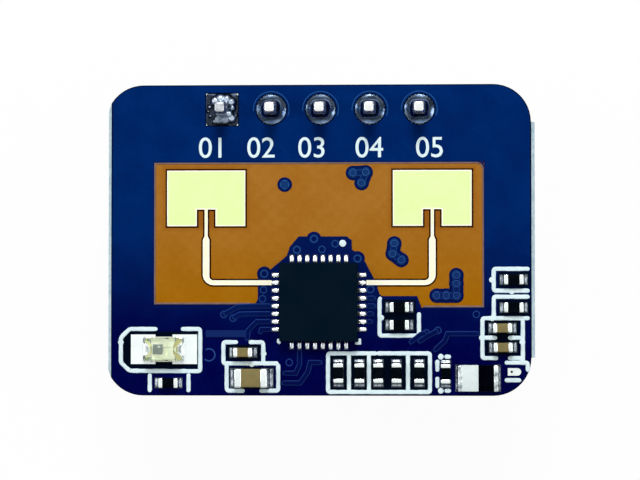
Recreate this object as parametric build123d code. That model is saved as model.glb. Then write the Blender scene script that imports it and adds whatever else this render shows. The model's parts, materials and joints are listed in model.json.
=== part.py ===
from build123d import *
import os

# Microwave radar sensor module. Millimetres, +Z out of the side with the radar chip.
# The origin is on the seat of the pin header's insulator, on the middle pin's axis.
# The pin row runs along X, and the board reaches from it towards -Y.

# Board
BOARD_LENGTH = 22.0
BOARD_WIDTH = 16.0
LAMINATE_THICKNESS = 1.2
SCORE_BEVEL = 0.2
SCORE_DEPTH = 0.4
CORNER_RADIUS = 1.95
CORNER_INSET = 0.05
CORNER_DRIFT = -0.15
COPPER_THICKNESS = 0.035
MASK_THICKNESS = 0.03
MASK_PULLBACK = 0.05
PRINT_THICKNESS = 0.015
# Flats on each small round piece: they stay within 0.01 mm of its circle
ROUND_SIDES = 24
# Flats on the smallest round holes and dots
DOT_SIDES = 12

# Pin header and its solder
PIN_COUNT = 5
PIN_PITCH = 2.54
PIN_SIDE = 0.64
PIN_TIP_SIDE = 0.42
PIN_TAPER_LENGTH = 0.5
PIN_REACH_BELOW = 6.0
PIN_REACH_ABOVE = 3.0
PIN_ROW_INSET = 1.27
INSULATOR_WIDTH = 2.54
INSULATOR_HEIGHT = 2.54
INSULATOR_NOTCH = 0.45
PIN_PRESS_GAP = 0.005
HOLE_DRILL = 1.02
BARREL_WALL = 0.03
PAD_DIAMETER = 1.56
SQUARE_PAD_SIDE = 1.64
PAD_MASK_GAP = 0.05
SOLDER_HEIGHT = 0.85
SOLDER_NECK_RADIUS = 0.46
SOLDER_RIM = 0.02
# Shares of a joint's way in to its neck and up it, which give the side its hollow
SOLDER_HOLLOW = [(0, 0), (0.62, 0.3), (1, 1)]

# Radar chip
CHIP_SIDE = 4.0
CHIP_HEIGHT = 0.8
CHIP_X = -0.08
CHIP_RISE = 4.8
LEADS_PER_SIDE = 8
LEAD_PITCH = 0.4
LEAD_WIDTH = 0.2
LEAD_LENGTH = 0.4
LEAD_THICKNESS = 0.2
CENTRE_PAD_SIDE = 2.7
CHIP_LAND_WIDTH = 0.22
CHIP_LAND_REACH = 0.44
CHIP_SOLDER_CLIMB = 0.12
# Share of its climb that a solder slope still has at its middle
SLOPE_MIDDLE = 0.35

# Antennas: two patches with inset feeds, mirrored about the chip
PATCH_LENGTH = 4.04
PATCH_WIDTH = 2.87
PATCH_SPREAD = 5.82
# How far up from the chip's centre to the pin row the patches start
PATCH_FOOT_SHARE = 0.394
NOTCH_DEPTH = 0.86
NOTCH_WIDTH = 0.4
FEED_WIDTH = 0.16
FEED_THIN_RUN = 0.51
FEED_TAPER_RUN = 0.2
FEED_WIDE = 0.34
FEED_ENTRY_WIDTH = 0.25
FEED_LEAD = 2
FEED_BEND_RADIUS = 0.55

# Window in the top mask, measured from the chip's centre
WINDOW_LEFT = 8.52
WINDOW_RIGHT = 8.47
WINDOW_TOP_GAP = 0.42
WINDOW_FOOT_LEFT = -0.12
WINDOW_FOOT_RIGHT = -0.28
TENT_RADIUS = 0.36
VIA_LAND_WIDTH = 0.3

# Tracks and print
TRACK_WIDTH = 0.15
WIDE_TRACK_WIDTH = 0.3
PRINT_WIDTH = 0.2
PIN_ONE_DOT_RADIUS = 0.2
PIN_ONE_DOT = (1.22, 3.02)

# Chip resistors and the smaller capacitors
SMALL_LENGTH = 1.0
SMALL_WIDTH = 0.5
RESISTOR_HEIGHT = 0.3
RESISTOR_GRIP = 0.2
COAT_THICKNESS = 0.025
CAPACITOR_HEIGHT = 0.5
CAPACITOR_GRIP = 0.24
LARGE_LENGTH = 1.7
LARGE_WIDTH = 0.96
LARGE_HEIGHT = 0.85
LARGE_GRIP = 0.38
END_PLATING = 0.02
LAND_MARGIN = 0.02
# Shares of the end faces that the solder climbs
RESISTOR_WETTING = 0.8
CAP_WETTING = 0.5
SMALL_LAND_REACH = 0.2
LARGE_LAND_REACH = 0.25

# Lamp
LAMP_LENGTH = 2.1
LAMP_WIDTH = 1.3
LAMP_BASE_HEIGHT = 0.3
LAMP_NOTCH_RADIUS = 0.32
LAMP_GRIP = 0.45
LENS_HEIGHT = 0.45
LENS_INSET = 0.06
LENS_DRAFT = 8.0
DIE_SIDE = 0.5
DIE_HEIGHT = 0.14
DIE_SHIFT = -0.27
LAMP_LAND_LENGTH = 1.27
LAMP_LAND_WIDTH = 1.52
LAMP_LAND_REACH = 0.66
LAMP_SOLDER_CLIMB = 0.14

# Two-tone diode
DIODE_LENGTH = 2.07
DIODE_WIDTH = 1.34
DIODE_HEIGHT = 0.85
DIODE_GRIP = 0.25
DIODE_SPLIT = 0.02
DIODE_LAND_REACH = 0.11

# Test land
TEST_LENGTH = 0.68
TEST_WIDTH = 0.38
TEST_HOLE_RADIUS = 0.1
TEST_BORE_RADIUS = 0.065
TEST_HOLE_SHIFT = -0.14

# Length of the front edge taken by each group of small parts, left to right
LAMP_ROOM = 4.8
CAPACITOR_ROOM = 2.85
ROW_ROOM = 5.225
DIODE_ROOM = 5.0
# Shares of the rest that lie before the capacitors and before the row of resistors
CAPACITOR_GAP_SHARE = 0.291
ROW_GAP_SHARE = 0.6145

# Heights of the layers above the header's seat
BOARD_UNDERSIDE = INSULATOR_HEIGHT + COPPER_THICKNESS
BOARD_TOP = BOARD_UNDERSIDE + LAMINATE_THICKNESS
LAND_TOP = BOARD_TOP + COPPER_THICKNESS
MASK_TOP = BOARD_TOP + MASK_THICKNESS

# Edges of the board in plan
REAR_EDGE = PIN_ROW_INSET
FRONT_EDGE = REAR_EDGE - BOARD_WIDTH
RIGHT_EDGE = BOARD_LENGTH / 2
LEFT_EDGE = -BOARD_LENGTH / 2
CHIP_Y = FRONT_EDGE + CHIP_RISE
PATCH_FOOT = -CHIP_Y * PATCH_FOOT_SHARE
WINDOW_TOP = PATCH_FOOT + PATCH_WIDTH + WINDOW_TOP_GAP

# Left ends of the capacitors' and the resistors' rooms
SPARE_LENGTH = BOARD_LENGTH - LAMP_ROOM - CAPACITOR_ROOM - ROW_ROOM - DIODE_ROOM
CAPACITORS_LEFT = LEFT_EDGE + LAMP_ROOM + CAPACITOR_GAP_SHARE * SPARE_LENGTH
ROW_LEFT = CAPACITORS_LEFT + CAPACITOR_ROOM + ROW_GAP_SHARE * SPARE_LENGTH

nodes = {}
os.makedirs("parts", exist_ok=True)


def keep(name, shapes):
    """Files one separate piece, or one group of like pieces, under its name."""
    solids = [solid for shape in shapes for solid in shape.solids()]
    nodes[name] = solids[0] if len(solids) == 1 else Compound(solids)


def from_left(inset, rise):
    """A point given in from the left edge and up from the front edge."""
    return (LEFT_EDGE + inset, FRONT_EDGE + rise)


def from_right(inset, rise):
    """A point given in from the right edge and up from the front edge."""
    return (RIGHT_EDGE - inset, FRONT_EDGE + rise)


def from_capacitors(x, rise):
    """A point given across from the capacitors' room and up from the front edge."""
    return (CAPACITORS_LEFT + x, FRONT_EDGE + rise)


def from_row(x, rise):
    """A point given across from the resistors' room and up from the front edge."""
    return (ROW_LEFT + x, FRONT_EDGE + rise)


def from_chip(x, y):
    """A point given from the chip's centre."""
    return (CHIP_X + x, CHIP_Y + y)


def from_window_top(x, drop):
    """A point given across from the chip and down from the window's upper edge, from the chip."""
    return (x, WINDOW_TOP - drop)


def fuse_all(shapes):
    """One shape from many that overlap."""
    first, *rest = shapes
    return first.fuse(*rest) if rest else first


def disc(radius, sides=ROUND_SIDES):
    """A small round plan, drawn with flats."""
    return RegularPolygon(radius, sides)


def band(points, width, overrun=0.0):
    """A strip of constant width through the points, with mitred corners and square ends."""
    path = [Vector(x, y) for x, y in points]
    runs = [(after - before).normalized() for before, after in zip(path, path[1:])]
    path[0] -= runs[0] * overrun
    path[-1] += runs[-1] * overrun
    left, right = [], []
    for point, inward, outward in zip(path, [runs[0]] + runs, runs + [runs[-1]]):
        normal_in, normal_out = Vector(-inward.Y, inward.X), Vector(-outward.Y, outward.X)
        mitre = (normal_in + normal_out) * (width / 2 / (1 + normal_in.dot(normal_out)))
        left.append(point + mitre)
        right.append(point - mitre)
    return Polygon(*[(corner.X, corner.Y) for corner in left + right[::-1]], align=None)


def slab(face, foot, thickness):
    """A flat layer of the given outline, standing on the height foot."""
    return extrude(Pos(0, 0, foot) * face, amount=thickness, dir=(0, 0, 1))


# Board outline

def corner_waste(side, end):
    """What the router takes off one corner of the board."""
    x = side * (RIGHT_EDGE - CORNER_INSET - CORNER_RADIUS) + CORNER_DRIFT
    y = REAR_EDGE - CORNER_RADIUS if end > 0 else FRONT_EDGE + CORNER_RADIUS
    block = Rectangle(2 * CORNER_RADIUS, 2 * CORNER_RADIUS)
    block = Pos(x + side * CORNER_RADIUS, y + end * CORNER_RADIUS) * block
    return block - Pos(x, y) * Circle(CORNER_RADIUS)


def board_outline(length):
    """The board in plan, with the given distance between its two straight side edges."""
    outline = Pos(0, (REAR_EDGE + FRONT_EDGE) / 2) * Rectangle(length, BOARD_WIDTH)
    for side in (-1, 1):
        for end in (-1, 1):
            outline = outline - corner_waste(side, end)
    return outline


def pin_places():
    """The pins' axes, left to right."""
    return [((number - (PIN_COUNT - 1) / 2) * PIN_PITCH, 0) for number in range(PIN_COUNT)]


def scored_section():
    """The board seen along Y, with both side edges bevelled where the score grooves broke."""
    half = BOARD_LENGTH / 2
    face = half - SCORE_BEVEL
    low, high = BOARD_UNDERSIDE, BOARD_TOP
    corners = [
        (-face, low), (face, low), (half, low + SCORE_DEPTH), (half, high - SCORE_DEPTH),
        (face, high), (-face, high), (-half, high - SCORE_DEPTH), (-half, low + SCORE_DEPTH),
    ]
    return Polygon(*corners, align=None)


def test_land_hole():
    """Centre of the small hole in the test land."""
    x, y = TEST_PLACE
    return (x + TEST_HOLE_SHIFT, y)


def make_laminate():
    """Glass-epoxy board with its routed corners, scored edges and drilled holes."""
    blank = slab(board_outline(BOARD_LENGTH), BOARD_UNDERSIDE, LAMINATE_THICKNESS)
    section = Pos(0, REAR_EDGE, 0) * (Plane.XZ * scored_section())
    blank = blank & extrude(section, amount=BOARD_WIDTH, dir=(0, -1, 0))
    drills = [Pos(x, y) * disc(HOLE_DRILL / 2) for x, y in pin_places()]
    drills.append(Pos(*test_land_hole()) * disc(TEST_HOLE_RADIUS, DOT_SIDES))
    for drill in drills:
        blank = blank - slab(drill, BOARD_UNDERSIDE, LAMINATE_THICKNESS)
    keep("laminate_core", [blank])


# Pin header

def header_pad(number, margin=0.0):
    """Plan of one header pad, grown by a margin: the first is square, the others round."""
    x, y = pin_places()[number]
    if number == 0:
        side = SQUARE_PAD_SIDE + 2 * margin
        return Pos(x, y) * Rectangle(side, side)
    return Pos(x, y) * disc(PAD_DIAMETER / 2 + margin)


def make_header_pads():
    """Plated barrels through the board, each with a pad on both faces."""
    barrels = []
    low = BOARD_UNDERSIDE - COPPER_THICKNESS
    for number, place in enumerate(pin_places()):
        barrel = slab(Pos(*place) * disc(HOLE_DRILL / 2), BOARD_UNDERSIDE, LAMINATE_THICKNESS)
        for foot in (low, BOARD_TOP):
            barrel = barrel + slab(header_pad(number), foot, COPPER_THICKNESS)
        bore = Pos(*place) * disc(HOLE_DRILL / 2 - BARREL_WALL)
        barrels.append(barrel - slab(bore, low, LAND_TOP - low))
    keep("header_pads", barrels)


def pin_solid(x, y, side, tip, foot, height, taper):
    """A square wire with both ends tapered."""
    ends = (foot, foot + height)
    shank = slab(Pos(x, y) * Rectangle(side, side), foot + taper, height - 2 * taper)
    for end, shoulder in zip(ends, (foot + taper, foot + height - taper)):
        narrow = Pos(x, y, end) * Rectangle(tip, tip)
        wide = Pos(x, y, shoulder) * Rectangle(side, side)
        shank = shank + loft([narrow, wide] if end < shoulder else [wide, narrow])
    return shank


def make_header():
    """Insulator strip of five cells, and the square pins pressed through it."""
    cell_corner = INSULATOR_WIDTH / 2 - INSULATOR_NOTCH
    half_cell, half_width = PIN_PITCH / 2, INSULATOR_WIDTH / 2
    cell_points = []
    for sx, sy in ((1, 1), (-1, 1), (-1, -1), (1, -1)):
        flank = (sx * half_cell, sy * cell_corner)
        face = (sx * (half_cell - INSULATOR_NOTCH), sy * half_width)
        cell_points += [flank, face] if sx * sy > 0 else [face, flank]
    cells = [Pos(x, y) * Polygon(*cell_points, align=None) for x, y in pin_places()]
    hole = PIN_SIDE + 2 * PIN_PRESS_GAP
    holes = [Pos(x, y) * Rectangle(hole, hole) for x, y in pin_places()]
    strip = fuse_all(cells)
    for each in holes:
        strip = strip - each
    keep("header_insulator", [slab(strip, 0, INSULATOR_HEIGHT)])
    height = PIN_REACH_BELOW + INSULATOR_HEIGHT + PIN_REACH_ABOVE
    pins = [
        pin_solid(x, y, PIN_SIDE, PIN_TIP_SIDE, -PIN_REACH_BELOW, height, PIN_TAPER_LENGTH)
        for x, y in pin_places()
    ]
    keep("header_pins", pins)


def joint_plan(number, half_width):
    """A joint's section at one height: square on the first pad, round on the others."""
    if number == 0:
        return Rectangle(2 * half_width, 2 * half_width)
    return disc(half_width)


def solder_joint(number):
    """Solder drawn hollow up the pin from its pad, with its plug down the barrel."""
    base = (SQUARE_PAD_SIDE if number == 0 else PAD_DIAMETER) / 2 - SOLDER_RIM
    joint = slab(disc(HOLE_DRILL / 2 - BARREL_WALL), INSULATOR_HEIGHT, LAND_TOP - INSULATOR_HEIGHT)
    sections = []
    for share_in, share_up in SOLDER_HOLLOW:
        half_width = base + (SOLDER_NECK_RADIUS - base) * share_in
        height = LAND_TOP + SOLDER_HEIGHT * share_up
        sections.append(Pos(0, 0, height) * joint_plan(number, half_width))
    for lower, upper in zip(sections, sections[1:]):
        joint = joint + loft([lower, upper], ruled=True)
    room = LAND_TOP + SOLDER_HEIGHT - INSULATOR_HEIGHT
    return joint - slab(Rectangle(PIN_SIDE, PIN_SIDE), INSULATOR_HEIGHT, room)


def make_header_solder():
    """Five joints on the chip side, each round its own pin."""
    places = enumerate(pin_places())
    keep("header_solder_joints", [Pos(*place) * solder_joint(number) for number, place in places])


# Radar chip

def lead_frames():
    """One location for each lead: its X points outwards, its origin is on the body's side."""
    frames = []
    for turn in (0, 90, 180, 270):
        for number in range(LEADS_PER_SIDE):
            shift = (number - (LEADS_PER_SIDE - 1) / 2) * LEAD_PITCH
            side = Pos(CHIP_X, CHIP_Y, 0) * Rot(0, 0, turn)
            frames.append(side * Pos(CHIP_SIDE / 2, shift, 0))
    return frames


def chip_land():
    """Plan of one chip land, along X from under the lead to beyond the body."""
    length = LEAD_LENGTH + CHIP_LAND_REACH
    return Pos(length / 2 - LEAD_LENGTH, 0) * Rectangle(length, CHIP_LAND_WIDTH)


def solder_slope(start, reach, climb, width):
    """Solder that starts at a piece's end face and slopes hollow down to its land."""
    profile = Polygon(
        (start, 0), (start + reach, 0), (start + reach / 2, climb * SLOPE_MIDDLE), (start, climb),
        align=None,
    )
    return extrude(Plane.XZ * profile, amount=width / 2, both=True)


def make_chip():
    """Moulded body over its leads and centre pad, soldered to the board."""
    lead = Pos(-LEAD_LENGTH / 2, 0, LAND_TOP + LEAD_THICKNESS / 2)
    lead = lead * Box(LEAD_LENGTH, LEAD_WIDTH, LEAD_THICKNESS)
    leads = [frame * lead for frame in lead_frames()]
    pad_face = Pos(CHIP_X, CHIP_Y) * Rectangle(CENTRE_PAD_SIDE, CENTRE_PAD_SIDE)
    centre_pad = slab(pad_face, LAND_TOP, LEAD_THICKNESS)
    body_face = Pos(CHIP_X, CHIP_Y) * Rectangle(CHIP_SIDE, CHIP_SIDE)
    body = slab(body_face, LAND_TOP, CHIP_HEIGHT) - centre_pad
    body = body.cut(*leads)
    slope = solder_slope(0, CHIP_LAND_REACH, CHIP_SOLDER_CLIMB, CHIP_LAND_WIDTH)
    slope = Pos(0, 0, LAND_TOP) * slope
    keep("chip_body", [body])
    keep("chip_leads", leads)
    keep("chip_centre_pad", [centre_pad])
    keep("chip_solder", [frame * slope for frame in lead_frames()])


def chip_lands():
    """Plans of all chip lands and of the centre land."""
    lands = [frame * chip_land() for frame in lead_frames()]
    return lands + [Pos(CHIP_X, CHIP_Y) * Rectangle(CENTRE_PAD_SIDE, CENTRE_PAD_SIDE)]


# Antennas

def antenna_plan(side):
    """One patch with its notches and its feed to the chip, for side -1 or 1."""
    foot, top = PATCH_FOOT, PATCH_FOOT + PATCH_WIDTH
    centre = PATCH_SPREAD
    patch = Pos(centre, (foot + top) / 2) * Rectangle(PATCH_LENGTH, PATCH_WIDTH)
    gap = Pos(centre, foot + NOTCH_DEPTH / 2) * Rectangle(FEED_WIDTH + 2 * NOTCH_WIDTH, NOTCH_DEPTH)
    thin, wide = FEED_WIDTH / 2, FEED_WIDE / 2
    taper_top = foot - FEED_THIN_RUN
    taper_foot = taper_top - FEED_TAPER_RUN
    entry = ((LEADS_PER_SIDE + 1) / 2 - FEED_LEAD) * LEAD_PITCH
    low, high = entry - FEED_ENTRY_WIDTH / 2, entry + FEED_ENTRY_WIDTH / 2
    end = CHIP_SIDE / 2 + CHIP_LAND_REACH
    feed = Polygon(
        (centre - thin, foot + NOTCH_DEPTH), (centre - thin, taper_top), (centre - wide, taper_foot),
        (centre - wide, high), (end, high), (end, low), (centre + wide, low),
        (centre + wide, taper_foot), (centre + thin, taper_top), (centre + thin, foot + NOTCH_DEPTH),
        align=None,
    )
    outer = feed.vertices().sort_by_distance((centre + wide, low))[0]
    feed = fillet(outer, FEED_BEND_RADIUS)
    inner = feed.vertices().sort_by_distance((centre - wide, high))[0]
    feed = fillet(inner, FEED_BEND_RADIUS - FEED_WIDE)
    plan = patch - gap + feed
    if side < 0:
        plan = mirror(plan, Plane.YZ)
    return Pos(CHIP_X, CHIP_Y) * plan


def make_antennas():
    """Two bare plated patches on the laminate inside the window."""
    for name, side in (("antenna_left", -1), ("antenna_right", 1)):
        keep(name, [slab(antenna_plan(side), BOARD_TOP, COPPER_THICKNESS)])


# Window and vias

# Covered vias inside the window, in groups that share one patch of mask
WINDOW_VIAS = [
    [from_window_top(-1.77, 1.15)],
    [from_window_top(1.75, 0.56), from_window_top(2.4, 0.53), from_window_top(2.19, 1.08)],
    [(3.87, 3.01), (3.79, 2.48), (4.23, 2.16)],
    [(7.05, 1.38), (7.05, 0.94), (7.05, 0.33), (6.53, 0.33), (6.04, 0.33)],
]
# Covered vias at the edge of the mask round the chip, from the chip's centre
EDGE_VIAS = [(-2.82, 1.46), (-0.26, 3.25), (-1.14, 2.69), (1.98, 2.24), (2.64, 0.66)]
# Where the mask comes up round the chip into the window, from the chip's centre
PENINSULA = [
    (-3.45, -1.0), (-3.45, WINDOW_FOOT_LEFT), (-3.24, -0.03), (-3.15, 0.18), (-3.15, 1.43),
    (-2.5, 1.68), (-1.66, 2.38), (-1.5, 2.85), (-1.05, 3.38), (1.42, 3.38), (1.68, 3.18),
    (1.69, 2.7), (2.1, 2.46), (2.4, 2.02), (2.88, 1.1), (3.12, 0.4), (3.24, 0.31),
    (5.04, 0.31), (5.26, WINDOW_FOOT_RIGHT), (5.26, -1.0),
]


def window_plan():
    """The opening that leaves the laminate and the antennas bare."""
    left, right, top = -WINDOW_LEFT, WINDOW_RIGHT, WINDOW_TOP
    step = (PENINSULA[0][0] + PENINSULA[-1][0]) / 2
    corners = [
        (left, top), (left, WINDOW_FOOT_LEFT), (step, WINDOW_FOOT_LEFT),
        (step, WINDOW_FOOT_RIGHT), (right, WINDOW_FOOT_RIGHT), (right, top),
    ]
    opening = Pos(CHIP_X, CHIP_Y) * Polygon(*corners, align=None)
    opening = opening - Pos(CHIP_X, CHIP_Y) * Polygon(*PENINSULA, align=None)
    tent = disc(TENT_RADIUS, DOT_SIDES)
    for group in WINDOW_VIAS + [[place] for place in EDGE_VIAS]:
        places = [from_chip(x, y) for x, y in group]
        for place in places:
            opening = opening - Pos(*place) * tent
        for pair in zip(places, places[1:]):
            opening = opening - band(pair, 2 * TENT_RADIUS)
    return opening


# Tracks under the mask, each a list of points from the chip's centre
TRACKS = [
    [(-2.44, -0.2), (-3.5, -0.2), (-4.2, -0.24), (-4.90, -0.63)],
    [(-2.44, -0.6), (-3.5, -0.6), (-4.1, -0.62), (-4.42, -0.82)],
    [(-2.44, -1.0), (-3.2, -1.0), (-3.65, -1.46), (-3.7, -1.95)],
    [(-2.44, -1.4), (-2.95, -1.4), (-3.05, -1.6)],
    [(2.44, 0.2), (2.9, 0.2)],
    [(2.44, -0.2), (2.9, -0.2)],
    [(2.44, -0.6), (2.8, -0.6)],
    [(2.44, -1.0), (2.75, -1.0)],
    [(4.66, -2.1), (5.2, -1.65), (5.51, -1.58)],
    [(5.1, -2.05), (5.55, -1.75), (6.10, -1.45)],
    [(5.9, -2.5), (6.45, -2.0), (6.6, -1.62), (8.2, -1.62)],
    [(-1.0, -2.44), (-1.0, -3.2), (-1.2, -3.65), (-1.85, -3.65)],
    [(0.15, -3.1), (-0.45, -3.1), (-0.58, -3.6), (-0.98, -4.15), (-1.9, -4.15)],
]
WIDE_TRACK = [(-5.8, -1.62), (-3.8, -1.62)]


def via_copper(group, margin):
    """Copper that joins one group of covered vias, in straight runs, grown by a margin."""
    width = VIA_LAND_WIDTH + 2 * margin
    places = [from_chip(x, y) for x, y in group]
    if len(places) == 1:
        return [Pos(*places[0]) * Rectangle(width, width)]
    return [band(pair, width, width / 2) for pair in zip(places, places[1:])]


def track_plans(margin=0.0):
    """Plans of the covered tracks and via groups, grown by a margin."""
    plans = []
    for track in TRACKS:
        plans.append(band([from_chip(x, y) for x, y in track], TRACK_WIDTH + 2 * margin, margin))
    wide = [from_chip(x, y) for x, y in WIDE_TRACK]
    plans.append(band(wide, WIDE_TRACK_WIDTH + 2 * margin, margin))
    for group in WINDOW_VIAS:
        plans += via_copper(group, margin)
    return plans


# Small parts: where each one sits, and which way its length runs (0 along X, 90 along Y)
RESISTORS = {
    "row_1": (from_row(0.535, 1.16), 90),
    "row_2": (from_row(1.615, 1.16), 90),
    "row_3": (from_row(2.585, 1.16), 90),
    "row_4": (from_row(3.515, 1.16), 90),
    "row_5": (from_row(4.685, 1.16), 90),
    "by_diode": (from_right(4.58, 1.13), 90),
    "under_lamp": (from_left(3.17, 0.65), 0),
    "pair_upper": (from_chip(4.13, -0.26), 0),
    "pair_lower": (from_chip(4.13, -1.17), 0),
    "edge_upper": (from_right(1.1, 5.95), 0),
    "edge_lower": (from_right(1.1, 4.52), 0),
}
SMALL_CAPACITOR = (SMALL_LENGTH, SMALL_WIDTH, CAPACITOR_HEIGHT, CAPACITOR_GRIP, SMALL_LAND_REACH)
LARGE_CAPACITOR = (LARGE_LENGTH, LARGE_WIDTH, LARGE_HEIGHT, LARGE_GRIP, LARGE_LAND_REACH)
CAPACITORS = {
    "left_small": (from_capacitors(1.02, 2.22), SMALL_CAPACITOR),
    "left_large": (from_capacitors(1.46, 0.91), LARGE_CAPACITOR),
    "edge_upper": (from_right(1.68, 3.47), SMALL_CAPACITOR),
    "edge_lower": (from_right(1.65, 2.48), SMALL_CAPACITOR),
}
LAMP_PLACE = from_left(2.93, 2.38)
DIODE_PLACE = from_right(2.93, 0.91)
TEST_PLACE = from_right(1.07, 1.23)


def seat(shape, place, turn=0.0):
    """Moves a small part from its own origin to its place on the board."""
    return Location((*place, LAND_TOP), (0, 0, turn)) * shape


def both_ends(shape):
    """A piece of the +X end and its twin at the other end."""
    return [shape, Rot(0, 0, 180) * shape]


def small_lands(place, turn, length, width, grip, reach):
    """Plans of the two lands under a small part."""
    inner, outer = length / 2 - grip, length / 2 + reach + LAND_MARGIN
    land = Pos((inner + outer) / 2, 0) * Rectangle(outer - inner, width + 2 * LAND_MARGIN)
    return [Location((*place, 0), (0, 0, turn)) * each for each in both_ends(land)]


def make_resistors():
    """Each chip resistor: white ceramic body, black coat on top, metal wrapped round its ends."""
    body = Pos(0, 0, END_PLATING + RESISTOR_HEIGHT / 2)
    inner_length = SMALL_LENGTH - 2 * END_PLATING
    body = body * Box(inner_length, SMALL_WIDTH, RESISTOR_HEIGHT)
    wrap_x = SMALL_LENGTH / 2 - RESISTOR_GRIP / 2
    wrap_height = RESISTOR_HEIGHT + 2 * END_PLATING
    wrap = Pos(wrap_x, 0, wrap_height / 2) * Box(RESISTOR_GRIP, SMALL_WIDTH, wrap_height) - body
    coat_length = SMALL_LENGTH - 2 * RESISTOR_GRIP
    coat = Pos(0, 0, END_PLATING + RESISTOR_HEIGHT + COAT_THICKNESS / 2)
    coat = coat * Box(coat_length, SMALL_WIDTH, COAT_THICKNESS)
    coats = []
    for name, (place, turn) in RESISTORS.items():
        keep(f"resistor_{name}_body", [seat(body, place, turn)])
        keep(f"resistor_{name}_ends", [seat(end, place, turn) for end in both_ends(wrap)])
        coats.append(seat(coat, place, turn))
    keep("resistor_coats", coats)


def capped_block(length, width, height, grip):
    """A plain block and the metal cap on its +X end, which covers five faces."""
    core = Pos(0, 0, height / 2)
    core = core * Box(length - 2 * END_PLATING, width - 2 * END_PLATING, height - 2 * END_PLATING)
    cap = Pos(length / 2 - grip / 2, 0, height / 2) * Box(grip, width, height)
    return core, cap - core


def make_capacitors():
    """Each ceramic capacitor: its block and the two metal caps."""
    for name, (place, (length, width, height, grip, _)) in CAPACITORS.items():
        core, cap = capped_block(length, width, height, grip)
        keep(f"capacitor_{name}_body", [seat(core, place)])
        keep(f"capacitor_{name}_ends", [seat(end, place) for end in both_ends(cap)])


def make_diode():
    """Two-ended diode: black block, white band over its left half, metal caps."""
    core, cap = capped_block(DIODE_LENGTH, DIODE_WIDTH, DIODE_HEIGHT, DIODE_GRIP)
    left = -DIODE_LENGTH / 2 + DIODE_GRIP
    band_length = DIODE_SPLIT - left
    band = Pos(left + band_length / 2, 0, DIODE_HEIGHT / 2 + END_PLATING / 2)
    band = band * Box(band_length, DIODE_WIDTH, DIODE_HEIGHT - END_PLATING) - core
    keep("diode_body", [seat(core, DIODE_PLACE)])
    keep("diode_band", [seat(band, DIODE_PLACE)])
    keep("diode_ends", [seat(end, DIODE_PLACE) for end in both_ends(cap)])


def lamp_plan(length, width, notch):
    """The lamp in plan: a rectangle with a half-round notch in each short end."""
    plan = Rectangle(length, width)
    for side in (-1, 1):
        plan = plan - Pos(side * LAMP_LENGTH / 2, 0) * Circle(notch)
    return plan


def make_lamp():
    """White base with notched metal ends, the die on it, and the clear lens over the die."""
    base_length = LAMP_LENGTH - 2 * END_PLATING
    base_plan = lamp_plan(base_length, LAMP_WIDTH, LAMP_NOTCH_RADIUS)
    base = slab(base_plan, END_PLATING, LAMP_BASE_HEIGHT)
    end_zone = Pos(LAMP_LENGTH / 2 - LAMP_GRIP / 2, 0) * Rectangle(LAMP_GRIP, LAMP_WIDTH)
    end_plan = end_zone & lamp_plan(LAMP_LENGTH, LAMP_WIDTH, LAMP_NOTCH_RADIUS - END_PLATING)
    end = slab(end_plan, 0, LAMP_BASE_HEIGHT + 2 * END_PLATING) - base
    lens_foot = LAMP_BASE_HEIGHT + 2 * END_PLATING
    lens_length = LAMP_LENGTH - 2 * LENS_INSET
    lens_plan = lamp_plan(lens_length, LAMP_WIDTH - LENS_INSET, LAMP_NOTCH_RADIUS + LENS_INSET)
    middle = Rectangle(LAMP_LENGTH - 2 * LAMP_GRIP, LAMP_WIDTH - LENS_INSET)
    lens = extrude(Pos(0, 0, lens_foot) * lens_plan, amount=LENS_HEIGHT, taper=LENS_DRAFT)
    lens = lens + slab(middle, lens_foot - END_PLATING, END_PLATING)
    die = Pos(DIE_SHIFT, 0, lens_foot - END_PLATING + DIE_HEIGHT / 2)
    die = die * Box(DIE_SIDE, DIE_SIDE, DIE_HEIGHT)
    keep("lamp_base", [seat(base, LAMP_PLACE)])
    keep("lamp_ends", [seat(each, LAMP_PLACE) for each in both_ends(end)])
    keep("lamp_die", [seat(die, LAMP_PLACE)])
    keep("lamp_lens", [seat(lens - die, LAMP_PLACE)])


def lamp_lands():
    """Plans of the lamp's two large lands."""
    outer = LAMP_LENGTH / 2 + LAMP_LAND_REACH
    land = Pos(outer - LAMP_LAND_LENGTH / 2, 0) * Rectangle(LAMP_LAND_LENGTH, LAMP_LAND_WIDTH)
    return [Pos(*LAMP_PLACE) * each for each in both_ends(land)]


def soldered_ends():
    """For every part with two ends: place, turn, length, width, grip, reach and solder climb."""
    small = (SMALL_LENGTH, SMALL_WIDTH, RESISTOR_GRIP, SMALL_LAND_REACH)
    ends = [
        (place, turn, *small, RESISTOR_HEIGHT * RESISTOR_WETTING)
        for place, turn in RESISTORS.values()
    ]
    for place, (length, width, height, grip, reach) in CAPACITORS.values():
        ends.append((place, 0, length, width, grip, reach, height * CAP_WETTING))
    diode = (DIODE_LENGTH, DIODE_WIDTH, DIODE_GRIP, DIODE_LAND_REACH, DIODE_HEIGHT * CAP_WETTING)
    return ends + [(DIODE_PLACE, 0, *diode)]


def make_small_part_solder():
    """All fillets at the ends of the small parts."""
    joints = []
    for place, turn, length, width, _, reach, climb in soldered_ends():
        slope = solder_slope(length / 2, reach, climb, width)
        joints += [seat(each, place, turn) for each in both_ends(slope)]
    slope = solder_slope(LAMP_LENGTH / 2, LAMP_LAND_REACH - LAND_MARGIN, LAMP_SOLDER_CLIMB, LAMP_WIDTH)
    joints += [seat(each, LAMP_PLACE) for each in both_ends(slope)]
    keep("small_part_solder", joints)


def small_part_lands():
    """Plans of the lands under all small parts."""
    lands = lamp_lands()
    for place, turn, length, width, grip, reach, _ in soldered_ends():
        lands += small_lands(place, turn, length, width, grip, reach)
    return lands


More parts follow.
